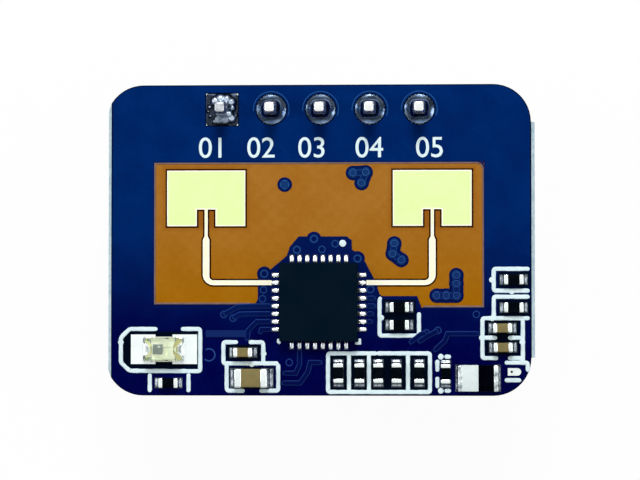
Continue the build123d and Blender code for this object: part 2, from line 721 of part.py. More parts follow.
def test_plan():
    """The test land in plan: one square end and one round end."""
    half = TEST_WIDTH / 2
    bar = Pos(-half / 2, 0) * Rectangle(TEST_LENGTH - half, TEST_WIDTH)
    return Pos(*TEST_PLACE) * (bar + Pos(TEST_LENGTH / 2 - half, 0) * disc(half))


def make_test_land():
    """A bare tinned land with a small plated hole."""
    bore = Pos(*test_land_hole()) * disc(TEST_BORE_RADIUS, DOT_SIDES)
    tube = Pos(*test_land_hole()) * disc(TEST_HOLE_RADIUS, DOT_SIDES) - bore
    land = slab(test_plan() - bore, BOARD_TOP, COPPER_THICKNESS)
    keep("test_land", [land + slab(tube, BOARD_UNDERSIDE, LAMINATE_THICKNESS)])


# Printed lines: the place each is measured from, then its points
PRINTED_LINES = [
    (LAMP_PLACE, [
        (-0.33, 1.04), (-1.78, 1.04), (-2.23, 0.6), (-2.23, -0.68), (-1.78, -1.11),
        (1.87, -1.13), (1.87, 1.04), (0.87, 1.04),
    ]),
    (RESISTORS["under_lamp"][0], [(-0.97, 0.5), (-0.97, -0.48)]),
    (RESISTORS["under_lamp"][0], [(1.03, 0.5), (1.03, -0.48)]),
    (from_row(0, 0), [(0, 2.17), (0, 0.19), (ROW_ROOM, 0.19), (ROW_ROOM, 2.17)]),
    (from_row(0, 0), [(0, 2.17), (ROW_ROOM, 2.17)]),
    (from_row(0, 0), [(1.075, 0.19), (1.075, 2.17)]),
    (from_row(0, 0), [(2.1, 0.19), (2.1, 2.17)]),
    (from_row(0, 0), [(4.1, 0.19), (4.1, 2.17)]),
    (RESISTORS["by_diode"][0], [(-0.42, 0.75), (-0.42, 0.1)]),
    (RESISTORS["by_diode"][0], [(-0.42, -0.12), (-0.42, -0.75)]),
    (RESISTORS["by_diode"][0], [(0.52, 0.75), (0.52, 0.1)]),
    (RESISTORS["by_diode"][0], [(0.52, -0.12), (0.52, -0.75)]),
    (CAPACITORS["left_small"][0], [(-0.27, 0.52), (-1.02, 0.52), (-1.02, -0.57), (1.83, -0.57)]),
    (CAPACITORS["left_small"][0], [(0.28, 0.52), (1.03, 0.52), (1.03, -0.57)]),
    (CAPACITORS["left_large"][0], [(-1.29, 0.74), (-1.29, -0.66), (-0.36, -0.66)]),
    (CAPACITORS["left_large"][0], [(1.36, 0.74), (1.36, -0.66), (0.39, -0.66)]),
    (RESISTORS["pair_upper"][0], [
        (-0.9, 0.48), (-1.02, 0.42), (-1.02, -1.46), (1, -1.46), (1, -0.26),
    ]),
    (RESISTORS["edge_upper"][0], [(0.88, 0.55), (-1.02, 0.55), (-1.02, -0.57), (0.88, -0.57)]),
    (RESISTORS["edge_lower"][0], [(0.88, 0.55), (-1.02, 0.55), (-1.02, -0.55)]),
    (CAPACITORS["edge_upper"][0], [(1.46, 0.5), (-1.02, 0.5), (-1.02, -1.54), (-0.22, -1.54)]),
    (CAPACITORS["edge_upper"][0], [(1.04, 0.5), (1.04, -1.77)]),
    (CAPACITORS["edge_upper"][0], [(1.04, -1.54), (0.28, -1.54)]),
    (CAPACITORS["edge_upper"][0], [(-1.02, -0.5), (-0.27, -0.5)]),
    (CAPACITORS["edge_upper"][0], [(1.04, -0.5), (0.28, -0.5)]),
    (TEST_PLACE, [(-0.5, 0.47), (0.6, 0.47), (0.68, 0.42), (0.68, 0)]),
    (TEST_PLACE, [(-0.5, -0.43), (0.35, -0.43)]),
    ((CHIP_X, CHIP_Y), [(-2.04, -1.9), (-2.04, -2.04), (-1.9, -2.1)]),
    ((CHIP_X, CHIP_Y), [(2.04, -1.9), (2.04, -2.04), (1.9, -2.1)]),
]


def print_plans():
    """Plans of all printed lines, and of the dot that marks the chip's first pin."""
    plans = [Pos(*from_chip(*PIN_ONE_DOT)) * disc(PIN_ONE_DOT_RADIUS, DOT_SIDES)]
    for (x, y), points in PRINTED_LINES:
        line = [(x + across, y + up) for across, up in points]
        plans.append(band(line, PRINT_WIDTH, PRINT_WIDTH / 2))
    return plans


# Board layers over and under the laminate

def through_layers(plan):
    """A cutter that clears everything on the board's top within the plan."""
    return slab(plan, BOARD_TOP, LAMINATE_THICKNESS)


def make_board_layers():
    """Tracks, lands, the two masks and the print."""
    top_face = board_outline(BOARD_LENGTH - 2 * SCORE_BEVEL)
    mask_outline = offset(top_face, -MASK_PULLBACK, kind=Kind.INTERSECTION)
    pads = [header_pad(number, PAD_MASK_GAP) for number in range(PIN_COUNT)]
    lands = chip_lands() + small_part_lands()
    antennas = [antenna_plan(-1), antenna_plan(1)]
    bare = [through_layers(each) for each in (*antennas, test_plan(), *pads, *lands)]
    window = through_layers(window_plan())
    tracks = fuse_all([slab(each, BOARD_TOP, COPPER_THICKNESS) for each in track_plans()])
    tracks = tracks.cut(*bare)
    ridge_height = COPPER_THICKNESS + MASK_THICKNESS
    ridges = [slab(each, BOARD_TOP, ridge_height) for each in track_plans(MASK_THICKNESS)]
    mask = slab(mask_outline, BOARD_TOP, MASK_THICKNESS).fuse(*ridges)
    mask = mask.cut(tracks, window, *bare)
    lower_foot = BOARD_UNDERSIDE - MASK_THICKNESS
    lower_bare = [slab(each, lower_foot, MASK_THICKNESS) for each in pads]
    lower_mask = slab(mask_outline, lower_foot, MASK_THICKNESS).cut(*lower_bare)
    inked = fuse_all([slab(each, MASK_TOP, PRINT_THICKNESS) for each in print_plans()])
    inked = inked & slab(mask_outline, MASK_TOP, PRINT_THICKNESS)
    chip = slab(Pos(CHIP_X, CHIP_Y) * Rectangle(CHIP_SIDE, CHIP_SIDE), MASK_TOP, PRINT_THICKNESS)
    inked = fuse_all(inked.solids()).cut(mask, tracks, chip, *bare)
    keep("signal_tracks", [tracks])
    keep("part_lands", [slab(each, BOARD_TOP, COPPER_THICKNESS) for each in lands])
    keep("top_solder_mask", [mask])
    keep("bottom_solder_mask", [lower_mask])
    keep("printed_outlines", [inked])


make_laminate()
make_header_pads()
make_header()
make_header_solder()
make_chip()
make_antennas()
make_resistors()
make_capacitors()
make_diode()
make_lamp()
make_small_part_solder()
make_test_land()
make_board_layers()

for name, shape in nodes.items():
    export_step(shape, f"parts/{name}.step")
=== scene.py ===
import json
import math

import bmesh
import bpy
import numpy as np
from mathutils import Matrix, Vector


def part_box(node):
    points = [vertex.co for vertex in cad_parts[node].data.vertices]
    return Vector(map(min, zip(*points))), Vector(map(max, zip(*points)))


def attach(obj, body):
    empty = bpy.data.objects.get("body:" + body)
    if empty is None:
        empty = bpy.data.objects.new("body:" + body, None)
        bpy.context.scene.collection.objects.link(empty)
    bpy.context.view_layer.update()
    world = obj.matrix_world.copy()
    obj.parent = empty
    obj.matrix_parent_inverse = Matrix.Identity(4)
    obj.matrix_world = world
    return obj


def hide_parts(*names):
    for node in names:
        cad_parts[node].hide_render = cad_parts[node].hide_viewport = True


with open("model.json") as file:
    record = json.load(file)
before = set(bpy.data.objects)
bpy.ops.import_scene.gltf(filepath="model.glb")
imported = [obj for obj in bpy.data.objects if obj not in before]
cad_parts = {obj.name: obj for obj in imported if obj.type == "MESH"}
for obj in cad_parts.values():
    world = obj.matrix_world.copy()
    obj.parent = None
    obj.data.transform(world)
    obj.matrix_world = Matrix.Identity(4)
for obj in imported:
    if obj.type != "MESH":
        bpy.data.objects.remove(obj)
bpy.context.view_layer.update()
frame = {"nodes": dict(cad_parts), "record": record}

# Every length below is in millimetres unless it says otherwise; the meshes are put in metres.
MM = 0.001
# Steps round each corner of a rounded block
CORNER_STEPS = 3
TAU = 2 * math.pi
# Pitch of the header's pins and of the chip's leads, and how deep the foot of solder lies in its land
PIN_PITCH = 2.54
LEAD_PITCH = 0.4
SINK = 0.004
# How far a fillet reaches into the metal end that it climbs
FILLET_LAP = 0.012

rng = np.random.default_rng(24)


# Places and heights, read from the frame

def span(node):
    """Lowest and highest corner of a node in millimetres."""
    low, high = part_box(node)
    return np.array(low) / MM, np.array(high) / MM


def middle(node):
    """Middle of a node's box in millimetres."""
    low, high = span(node)
    return (low + high) / 2


BOARD_LOW, BOARD_HIGH = span("laminate_core")
BOARD_TOP = BOARD_HIGH[2]
LAND_TOP = span("part_lands")[1][2]
MASK_TOP = span("printed_outlines")[0][2]
CHIP = middle("chip_body")
BOARD_MIDDLE = (BOARD_LOW + BOARD_HIGH) / 2
# Half the length of an antenna's patch, and its width
PATCH_HALF = 2.02
PATCH_WIDTH = 2.87
PIN_PLACES = [((number - 2) * PIN_PITCH, 0.0) for number in range(5)]


# Colours

def ink(red, green, blue):
    """A colour given as 0 to 255 on screen, turned into the linear values that shaders take."""
    level = np.array([red, green, blue]) / 255
    linear = np.where(level <= 0.04045, level / 12.92, ((level + 0.055) / 1.055) ** 2.4)
    return (*linear.tolist(), 1.0)


# Surfaces

def grid_quads(rows, columns, wrap=False):
    """Corner numbers of the quads between a grid's rows and columns; wrap joins the last column
    to the first."""
    across = columns if wrap else columns - 1
    row, column = np.meshgrid(np.arange(rows - 1), np.arange(across), indexing="ij")
    after = (column + 1) % columns
    corners = [row * columns + column, row * columns + after]
    corners += [(row + 1) * columns + after, (row + 1) * columns + column]
    return np.stack(corners, -1).reshape(-1, 4)


def closed_loops(points):
    """A surface from an array of closed loops, rows by columns by 3, with its first and last loop
    filled by fans."""
    rows, columns = points.shape[:2]
    ends = np.repeat(points[[0, -1]].mean(1, keepdims=True), columns, axis=1)
    points = np.concatenate([ends[:1], points, ends[1:]])
    return points.reshape(-1, 3), grid_quads(rows + 2, columns, wrap=True)


def circle(count):
    """Angles of evenly spaced points once round."""
    return np.linspace(0, TAU, count, endpoint=False)


def round_loops(centre, radius, angle, z):
    """A surface from loops round an upright axis: a distance out and a height at each angle."""
    x, y = centre[0] + radius * np.cos(angle), centre[1] + radius * np.sin(angle)
    return closed_loops(np.stack([x, y, z + 0 * x], -1))


def stacked(levels):
    """A surface from outlines in plan, each with the height that it lies at."""
    return closed_loops(np.stack([np.insert(outline, 2, z, axis=1) for outline, z in levels]))


def gather(surfaces):
    """Many surfaces as one: points stacked, quads renumbered."""
    counts = np.cumsum([0] + [len(points) for points, _ in surfaces])
    points = np.concatenate([points for points, _ in surfaces])
    quads = np.concatenate([quads + start for (_, quads), start in zip(surfaces, counts)])
    return points, quads


def in_scene(name, data):
    """A new object with this data, in the scene."""
    made = bpy.data.objects.new(name, data)
    bpy.context.scene.collection.objects.link(made)
    return made


def piece(name, surfaces, slot, stands_for=(), even_light=False):
    """One object from surfaces in millimetres: doubles merged, faces turned outwards, riding on
    the board, with its own finish or that of its slot."""
    points, quads = gather(surfaces)
    mesh = bpy.data.meshes.new(name)
    mesh.from_pydata((points * MM).tolist(), [], quads.tolist())
    shell = bmesh.new()
    shell.from_mesh(mesh)
    bmesh.ops.remove_doubles(shell, verts=shell.verts, dist=2e-7)
    bmesh.ops.dissolve_degenerate(shell, edges=shell.edges, dist=1e-8)
    bmesh.ops.recalc_face_normals(shell, faces=shell.faces)
    shell.to_mesh(mesh)
    shell.free()
    mesh.shade_smooth()
    made = in_scene(name, mesh)
    mesh.materials.append(OWN_FINISH.get(name, FINISH[slot]))
    if even_light:
        made.modifiers.new("flat faces stay flat", "WEIGHTED_NORMAL").keep_sharp = True
    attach(made, "root")
    if stands_for:
        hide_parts(*stands_for)


def rounded_box(centre, size, radius):
    """A box with rounded edges: each point is a corner of the inner box plus the radius times a
    direction, and the direction sweeps an eighth of a sphere at each corner."""
    inner = np.maximum(np.array(size) / 2 - radius, 1e-6)
    sweep = np.linspace(0, math.pi / 2, CORNER_STEPS + 1)
    round_angle = np.concatenate([sweep + quarter * math.pi / 2 for quarter in range(4)])
    quarter_x = np.repeat([1, -1, -1, 1], CORNER_STEPS + 1)
    quarter_y = np.repeat([1, 1, -1, -1], CORNER_STEPS + 1)
    rise_angle = np.concatenate([sweep - math.pi / 2, sweep])
    half_z = np.repeat([-1, 1], CORNER_STEPS + 1)
    rise, turn = np.meshgrid(rise_angle, round_angle, indexing="ij")
    x = quarter_x * inner[0] + radius * np.cos(rise) * np.cos(turn)
    y = quarter_y * inner[1] + radius * np.cos(rise) * np.sin(turn)
    z = half_z[:, None] * inner[2] + radius * np.sin(rise)
    return closed_loops(np.stack([x, y, z], -1) + np.array(centre))


def turned(surface, centre, angle):
    """A surface made about the origin, turned about Z and moved to a centre."""
    points, quads = surface
    cosine, sine = math.cos(angle), math.sin(angle)
    x = points[:, 0] * cosine - points[:, 1] * sine
    y = points[:, 0] * sine + points[:, 1] * cosine
    return np.stack([x, y, points[:, 2]], -1) + np.array([centre[0], centre[1], 0]), quads


def strip(path, half_width, height, foot, wobble=0.0, power=4, step=0.07):
    """A low bead along a path in plan: at each station the section rises as height times one less
    the share across to a power, the width closes in a half circle at both ends and, where asked,
    wavers by a sum of two sines of the length run."""
    path = np.array(path, float)
    runs = np.diff(path, axis=0)
    lengths = np.hypot(*runs.T)
    runs = runs / lengths[:, None]
    corners = np.concatenate([[0], np.cumsum(lengths)])
    total = corners[-1]
    ends = half_width * (1 - np.cos(np.linspace(0, math.pi / 2, 6)))
    stations = np.concatenate([np.arange(half_width, total, step), corners[1:-1], ends, total - ends])
    stations = np.unique(np.clip(stations, 0, total).round(5))
    x = np.interp(stations, corners, path[:, 0])
    y = np.interp(stations, corners, path[:, 1])
    normals = []
    for shift in (-1e-4, 1e-4):
        run = runs[np.clip(np.searchsorted(corners, stations + shift) - 1, 0, len(runs) - 1)]
        normals.append(np.stack([-run[:, 1], run[:, 0]], -1))
    before, after = normals
    mitre = (before + after) / np.maximum(1 + (before * after).sum(1), 0.3)[:, None]
    from_end = np.minimum(np.minimum(stations, total - stations), half_width)
    width = np.sqrt(np.maximum(half_width ** 2 - (half_width - from_end) ** 2, 1e-8))
    phase = rng.uniform(0, TAU, 2)
    width = width * (1 + wobble * (np.sin(stations * 5.3 + phase[0]) + np.sin(stations * 12.7 + phase[1])))
    across = np.linspace(-1, 1, 9)
    loop = np.concatenate([across, across[-2:0:-1]])
    lift = np.concatenate([1 - np.abs(across) ** power, np.full(7, -0.15)])
    px = x[:, None] + mitre[:, :1] * width[:, None] * loop
    py = y[:, None] + mitre[:, 1:] * width[:, None] * loop
    pz = foot + height * lift[None, :] * (width / half_width)[:, None] ** 0.5
    return closed_loops(np.stack([px, py, pz], -1))


def eased(points, radius):
    """A path with each inner corner replaced by a quadratic curve that starts and ends a radius
    away."""
    points = np.array(points, float)
    way = np.linspace(0, 1, 6)[:, None]
    path = [points[:1]]
    for before, corner, after in zip(points, points[1:], points[2:]):
        start = corner + (before - corner) * min(radius / np.hypot(*(before - corner)), 0.45)
        stop = corner + (after - corner) * min(radius / np.hypot(*(after - corner)), 0.45)
        path.append((1 - way) ** 2 * start + 2 * way * (1 - way) * corner + way ** 2 * stop)
    path.append(points[-1:])
    return np.concatenate(path)


def disc_relief(centre, radius, foot, profile):
    """A round low form: circles of growing radius, each at the height that the profile gives for it."""
    r = np.linspace(1, 0.02, 14)[:, None] * radius
    return round_loops(centre, r, circle(28), foot + profile(r))


def fillet(face, half_width, reach, climb, hollow=5.0, foot=0.03):
    """Solder at a +X end face: out along the land the height falls from the climb as one less the
    way out to a power, down to a nearly flat foot that rounds off at the toe and at both sides."""
    out = np.linspace(0, 1, 15)[:, None]
    across = np.linspace(-1, 1, 13)
    top_x = out * reach * (1 - 0.14 * np.abs(across) ** 4)
    top_z = climb * (1 - out) ** hollow * (1 - 0.12 * across ** 6)
    top_z = top_z + foot * (1 - out ** 8) * (1 - across ** 12)
    top_y = half_width * across * (1 + 0 * out)
    x = np.concatenate([top_x, top_x[:, ::-1]], 1)
    y = np.concatenate([top_y, top_y[:, ::-1]], 1)
    z = np.concatenate([top_z, 0 * top_z - SINK], 1) + LAND_TOP
    points, quads = closed_loops(np.stack([x, y, z], -1))
    return points + np.array([face - FILLET_LAP, 0, 0]), quads


def rounded_square(angle, half_width, squareness):
    """Distance from the middle to a superellipse's edge: a circle at power 2, a square as it grows."""
    edge = np.abs(np.cos(angle)) ** squareness + np.abs(np.sin(angle)) ** squareness
    return half_width * edge ** (-1 / squareness)


# Shader nodes, and the groups that more than one material uses

class Nodes:
    """A node tree, with short ways to add the nodes that groups and materials are made of."""

    def __init__(self, tree):
        self.tree = tree

    def feed(self, socket, given):
        """Sets a socket to a number or a screen colour, or links it to the socket that feeds it."""
        if isinstance(given, tuple):
            socket.default_value = ink(*given)
        elif isinstance(given, (int, float)):
            socket.default_value = given
        else:
            self.tree.links.new(given, socket)

    def add(self, kind, feeds, result=0, **settings):
        """A new node with its settings and what feeds its inputs; gives one output, or all for None."""
        node = self.tree.nodes.new("ShaderNode" + kind)
        for name, value in settings.items():
            setattr(node, name, value)
        for key, given in feeds.items():
            self.feed(node.inputs[key], given)
        return node.outputs if result is None else node.outputs[result]

    def math(self, operation, *values):
        """A math node on numbers or sockets."""
        return self.add("Math", dict(enumerate(values)), operation=operation)

    def noise(self, vector, scale, detail=2.0, roughness=0.5):
        """A noise texture on the given coordinates."""
        feeds = {"Vector": vector, "Scale": scale, "Detail": detail, "Roughness": roughness}
        return self.add("TexNoise", feeds, "Fac")

    def fit(self, value, low, high, to_low=0.0, to_high=1.0):
        """A smooth map from one range to another."""
        feeds = dict(enumerate((value, low, high, to_low, to_high)))
        return self.add("MapRange", feeds, interpolation_type="SMOOTHSTEP")

    def mix(self, share, first, second, amount=1.0):
        """Two colours mixed by a share, itself lowered to an amount."""
        if amount != 1.0:
            share = self.math("MULTIPLY", share, amount)
        return self.add("Mix", {"Factor": share, 6: first, 7: second}, 2, data_type="RGBA")


def new_group(name, values, *outputs):
    """An empty group on a place in millimetres: its named values (None for a colour) and its outputs."""
    group = bpy.data.node_groups.new(name, "ShaderNodeTree")
    group.interface.new_socket("Place", in_out="INPUT", socket_type="NodeSocketVector")
    for label, value in values.items():
        kind = "NodeSocketColor" if value is None else "NodeSocketFloat"
        socket = group.interface.new_socket(label, in_out="INPUT", socket_type=kind)
        if value is not None:
            socket.default_value = value
    for label in outputs:
        kind = "NodeSocketColor" if label == "Color" else "NodeSocketFloat"
        group.interface.new_socket(label, in_out="OUTPUT", socket_type=kind)
    given, out = group.nodes.new("NodeGroupInput"), group.nodes.new("NodeGroupOutput")
    return group, Nodes(group), given.outputs, out.inputs


def grain_group():
    """Fine grain: a value that wanders between two limits, and its height."""
    values = {"Grains per mm": 12.0, "Low": 0.3, "High": 0.5}
    group, nodes, given, out = new_group("fine_grain", values, "Value", "Height")
    noise = nodes.noise(given["Place"], given["Grains per mm"], 4.0, 0.6)
    nodes.feed(out["Value"], nodes.fit(noise, 0.3, 0.7, given["Low"], given["High"]))
    nodes.feed(out["Height"], noise)
    return group


def mottle_group():
    """Soft mottle: two colours that drift into each other over wide and narrow clouds."""
    values = {"Clouds per mm": 1.0, "First": None, "Second": None}
    group, nodes, given, out = new_group("soft_mottle", values, "Color")
    wide = nodes.noise(given["Place"], given["Clouds per mm"])
    narrow = nodes.noise(given["Place"], nodes.math("MULTIPLY", given["Clouds per mm"], 9.0))
    both = nodes.math("ADD", nodes.math("MULTIPLY", wide, 0.65), nodes.math("MULTIPLY", narrow, 0.35))
    nodes.feed(out["Color"], nodes.mix(nodes.fit(both, 0.36, 0.64), given["First"], given["Second"]))
    return group


def zone_group():
    """Zone: one inside an upright rectangle in plan and nought outside, with a soft edge."""
    values = {"Middle X": 0.0, "Middle Y": 0.0, "Half X": 1.0, "Half Y": 1.0, "Edge": 0.05}
    group, nodes, given, out = new_group("zone", values, "Mask")
    axes = nodes.add("SeparateXYZ", {0: given["Place"]}, None)
    beyond = []
    for axis in "XY":
        offset = nodes.math("ABSOLUTE", nodes.math("SUBTRACT", axes[axis], given["Middle " + axis]))
        beyond.append(nodes.math("SUBTRACT", offset, given["Half " + axis]))
    inner = nodes.math("MULTIPLY", given["Edge"], -1.0)
    nodes.feed(out["Mask"], nodes.fit(nodes.math("MAXIMUM", *beyond), inner, given["Edge"], 1.0, 0.0))
    return group


def weave_group():
    """Glass cloth: two sets of yarns that cross over and under, as a height and a share."""
    group, nodes, given, out = new_group("glass_cloth", {"Yarns per mm": 2.0}, "Height", "Over")
    wander = nodes.math("MULTIPLY", nodes.noise(given["Place"], 0.6), 0.35)
    axes = nodes.add("SeparateXYZ", {0: given["Place"]}, None)
    waves = []
    for axis in "XY":
        yarns = nodes.math("MULTIPLY", nodes.math("ADD", axes[axis], wander), given["Yarns per mm"])
        waves.append(nodes.math("SINE", nodes.math("MULTIPLY", yarns, math.pi)))
    over = nodes.math("MULTIPLY", *waves)
    ridges = nodes.math("ADD", *[nodes.math("ABSOLUTE", wave) for wave in waves])
    height = nodes.math("ADD", nodes.math("MULTIPLY", over, 0.4), nodes.math("MULTIPLY", ridges, 0.3))
    nodes.feed(out["Height"], height)
    nodes.feed(out["Over"], nodes.fit(over, -0.6, 0.6))
    return group


GRAIN = grain_group()
MOTTLE = mottle_group()
ZONE = zone_group()
CLOTH = weave_group()


# Materials

class Finish(Nodes):
    """A material under way: its Principled shader, and Object coordinates turned into millimetres."""

    SETTINGS = {
        "metallic": "Metallic", "specular": "Specular IOR Level",
        "transmission": "Transmission Weight", "ior": "IOR",
    }

    def __init__(self, name):
        self.material = bpy.data.materials.new(name)
        self.material.use_nodes = True
        super().__init__(self.material.node_tree)
        self.shader = self.tree.nodes["Principled BSDF"]
        place = self.add("TexCoord", {}, "Object")
        self.place = self.add("VectorMath", {0: place, "Scale": 1 / MM}, operation="SCALE")
        self.axes = self.add("SeparateXYZ", {0: self.place}, None)

    def group(self, group, output, **values):
        """One use of a shared group, with its own values."""
        feeds = {label.replace("_", " "): value for label, value in values.items()}
        return self.add("Group", {"Place": self.place, **feeds}, output, node_tree=group)

    def ramp(self, axis, low, high, to_low=0.0, to_high=1.0):
        """A value that changes smoothly between two places on an axis."""
        return self.fit(self.axes[axis], low, high, to_low, to_high)

    def mottle(self, clouds, first, second):
        """Two colours in soft clouds."""
        return self.group(MOTTLE, "Color", Clouds_per_mm=clouds, First=first, Second=second)

    def zone(self, centre, half, edge=0.05):
        """One inside a rectangle given by its middle and half size."""
        sides = {"Middle_X": centre[0], "Middle_Y": centre[1], "Half_X": half[0], "Half_Y": half[1]}
        return self.group(ZONE, "Mask", Edge=edge, **sides)

    def zones(self, places, edge):
        """One inside any of several rectangles."""
        whole = 0.0
        for centre, half in places:
            whole = self.math("MAXIMUM", whole, self.zone(centre, half, edge))
        return whole

    def done(self, colour, grains, roughness, depth, strength=0.5, height=None, **settings):
        """The material, given its colour, grained roughness, relief and the shader's other settings."""
        grain = self.group(GRAIN, None, Grains_per_mm=grains, Low=roughness[0], High=roughness[1])
        height = grain["Height"] if height is None else height
        bump = {"Strength": strength, "Distance": depth * MM, "Height": height}
        feeds = {self.SETTINGS[label]: value for label, value in settings.items()}
        feeds.update({"Base Color": colour, "Roughness": grain["Value"], "Normal": self.add("Bump", bump)})
        for label, given in feeds.items():
            self.feed(self.shader.inputs[label], given)
        return self.material


def plain(name, first, second, clouds, roughness, grains, depth, **settings):
    """A finish of mottled colour, grained roughness and fine relief."""
    finish = Finish(name)
    return finish.done(finish.mottle(clouds, first, second), grains, roughness, depth, **settings)


def window_zone():
    """Middle and half size of the window that leaves the laminate bare."""
    low = np.array([CHIP[0] - 8.56, CHIP[1] - 0.36])
    high = np.array([CHIP[0] + 8.51, span("antenna_left")[1][1] + 0.46])
    return (low + high) / 2, (high - low) / 2


def bare_ground():
    """Middles and half sizes of the zones inside the printed outlines that have no copper pour."""
    zones = [
        ("lamp_base", (-0.18, -0.03), (1.95, 0.95)),
        ("resistor_row_1_body", (2.08, 0.02), (2.5, 0.88)),
        ("resistor_pair_upper_body", (0.0, -0.46), (0.85, 0.85)),
        ("resistor_edge_upper_body", (0.02, 0.0), (0.82, 0.42)),
        ("resistor_edge_lower_body", (0.02, 0.0), (0.82, 0.42)),
        ("capacitor_edge_upper_body", (0.0, -0.5), (0.88, 0.9)),
        ("capacitor_left_small_body", (0.0, 0.0), (0.88, 0.4)),
        ("capacitor_left_large_body", (0.0, 0.0), (1.15, 0.56)),
    ]
    return [(middle(node)[:2] + shift, half) for node, shift, half in zones]


def mask_finish():
    """Blue solder mask: brighter over the copper at the rear and navy at the front, a painted
    reflection of the light; nearly black where no copper lies under it inside the printed outlines;
    and paler where it rides up over tracks and covered vias, a painted highlight on the flanks."""
    finish = Finish("solder_mask_blue")
    # Painted reflection: the blue grows brighter towards the rear, as a light mirrored in the glossy mask
    # would make it.
    rear_sheen_share = finish.ramp("Y", -12.5, -4.5)
    rear = finish.mottle(0.7, (0, 33, 93), (0, 39, 102))
    colour = finish.mix(rear_sheen_share, finish.mottle(0.7, (0, 1, 62), (0, 6, 72)), rear)
    colour = finish.mix(finish.zone(*window_zone(), 0.02), colour, (3, 18, 76), 0.75)
    colour = finish.mix(finish.zones(bare_ground(), 0.06), colour, (0, 9, 16), 0.9)
    # Painted highlight: the flanks of the rises over tracks and the crowns of via rings take a paler blue, as
    # light glancing off them would.
    up = finish.ramp("Z", MASK_TOP + 0.003, MASK_TOP + 0.011)
    over = finish.ramp("Z", MASK_TOP + 0.028, MASK_TOP + 0.039, 1.0, 0.06)
    crown_highlight = finish.ramp("Z", MASK_TOP + 0.05, MASK_TOP + 0.058)
    flank_highlight = finish.math("MAXIMUM", finish.math("MULTIPLY", up, over), crown_highlight)
    ridge = finish.mix(rear_sheen_share, (40, 72, 140), (42, 92, 152))
    colour = finish.mix(flank_highlight, colour, ridge, 0.85)
    colour = finish.mix(finish.ramp("Z", BOARD_TOP - 0.4, BOARD_TOP - 0.2), rear, colour)
    return finish.done(colour, 5.0, (0.24, 0.38), 0.004, 0.4, specular=0.01)


def patch_middles():
    """Middles of the two patches, each set in from its antenna's far top corner."""
    (left, _, _), (_, top, _) = span("antenna_left")
    right = span("antenna_right")[1][0]
    return [(x, top - PATCH_WIDTH / 2) for x in (left + PATCH_HALF, right - PATCH_HALF)]


def laminate_finish():
    """Glass-epoxy: amber resin over faint cloth in the window, dark where the rest shows past the
    mask's edge, and pale and grey on the board's cut and scored sides."""
    finish = Finish("glass_epoxy")
    cloth = finish.group(CLOTH, None, Yarns_per_mm=2.4)
    rear = finish.mottle(0.5, (161, 104, 32), (167, 112, 42))
    front = finish.mottle(0.5, (157, 99, 1), (163, 105, 8))
    colour = finish.mix(finish.ramp("Y", -11.0, -4.5), front, rear)
    colour = finish.mix(cloth["Over"], colour, (152, 94, 16), 0.15)
    for centre in patch_middles():
        colour = finish.mix(finish.zone(centre, (2.15, 1.57), 0.24), colour, (128, 66, 14), 0.5)
    colour = finish.mix(finish.zone(*window_zone(), 0.01), (4, 10, 34), colour)
    below = finish.ramp("Z", BOARD_TOP - 0.06, BOARD_TOP - 0.02, 1.0, 0.0)
    colour = finish.mix(below, colour, finish.mottle(3.0, (174, 200, 212), (204, 224, 232)))
    return finish.done(colour, 6.0, (0.5, 0.65), 0.004, 0.3, cloth["Height"], specular=0.005)


def gold_finish():
    """Pale gold plate: matt and greenish on the patches, and nearly white on the narrow feeds."""
    finish = Finish("pale_gold_plate")
    patch = finish.mottle(1.2, (232, 250, 180), (228, 247, 172))
    feed = finish.mottle(2.0, (254, 250, 226), (252, 246, 214))
    on_patch = finish.zones([(centre, (2.1, 1.4)) for centre in patch_middles()], 0.08)
    colour = finish.mix(on_patch, feed, patch)
    return finish.done(colour, 9.0, (0.42, 0.55), 0.001, metallic=0.12, specular=0.05)


def joint_finish(name, first, second, roughness, lumps, depth, bright, dark):
    """Solder of a header joint: bright at one height over the land and dark at another, a painted shade and
    dark reflection in its colour.
    """
    finish = Finish(name)
    low, high = LAND_TOP + min(bright, dark), LAND_TOP + max(bright, dark)
    # Painted shade: the colour darkens towards one height over the land, standing in for shade and dark
    # reflection on the joint.
    dark_tone = finish.ramp("Z", low, high, *((0.0, 0.9) if bright < dark else (0.95, 0.0)))
    colour = finish.mix(dark_tone, finish.mottle(1.6, first, second), (18, 28, 42))
    return finish.done(colour, lumps, roughness, depth, metallic=1.0)


def land_finish():
    """Tinned lands: bright and flat under the lamp, and dark grey elsewhere as a painted dark reflection."""
    finish = Finish("tinned_lands")
    bright = finish.mottle(1.5, (244, 252, 250), (236, 246, 244))
    # Painted dark reflection: away from the lamp the lands take a dark grey, the dark surroundings mirrored
    # in their flat tops.
    dark_tone = finish.mottle(3.0, (58, 66, 78), (86, 94, 104))
    colour = finish.mix(finish.zone(middle("lamp_base"), (2.0, 0.9)), dark_tone, bright)
    return finish.done(colour, 5.0, (0.3, 0.45), 0.002, metallic=0.6)


def pin_finish():
    """Tinned pins: bright over the board, greyer under it as painted shade, and darker where solder covers
    the first one.
    """
    finish = Finish("tinned_pin")
    top = finish.ramp("Z", LAND_TOP + 0.9, LAND_TOP + 1.1)
    covered = finish.math("MULTIPLY", finish.zone(PIN_PLACES[0], (0.5, 0.5)), top)
    bright = finish.mottle(1.0, (242, 244, 242), (232, 236, 236))
    shaded_tin = finish.mottle(1.0, (186, 190, 192), (170, 175, 178))
    dark_tone = finish.mottle(4.0, (212, 218, 222), (170, 178, 184))
    # Painted shade: under the board the pins take a greyer tin.
    under = finish.ramp("Z", 0.0, BOARD_TOP, 1.0, 0.0)
    colour = finish.mix(under, finish.mix(covered, bright, dark_tone), shaded_tin)
    return finish.done(colour, 4.0, (0.2, 0.3), 0.0005, metallic=0.95)


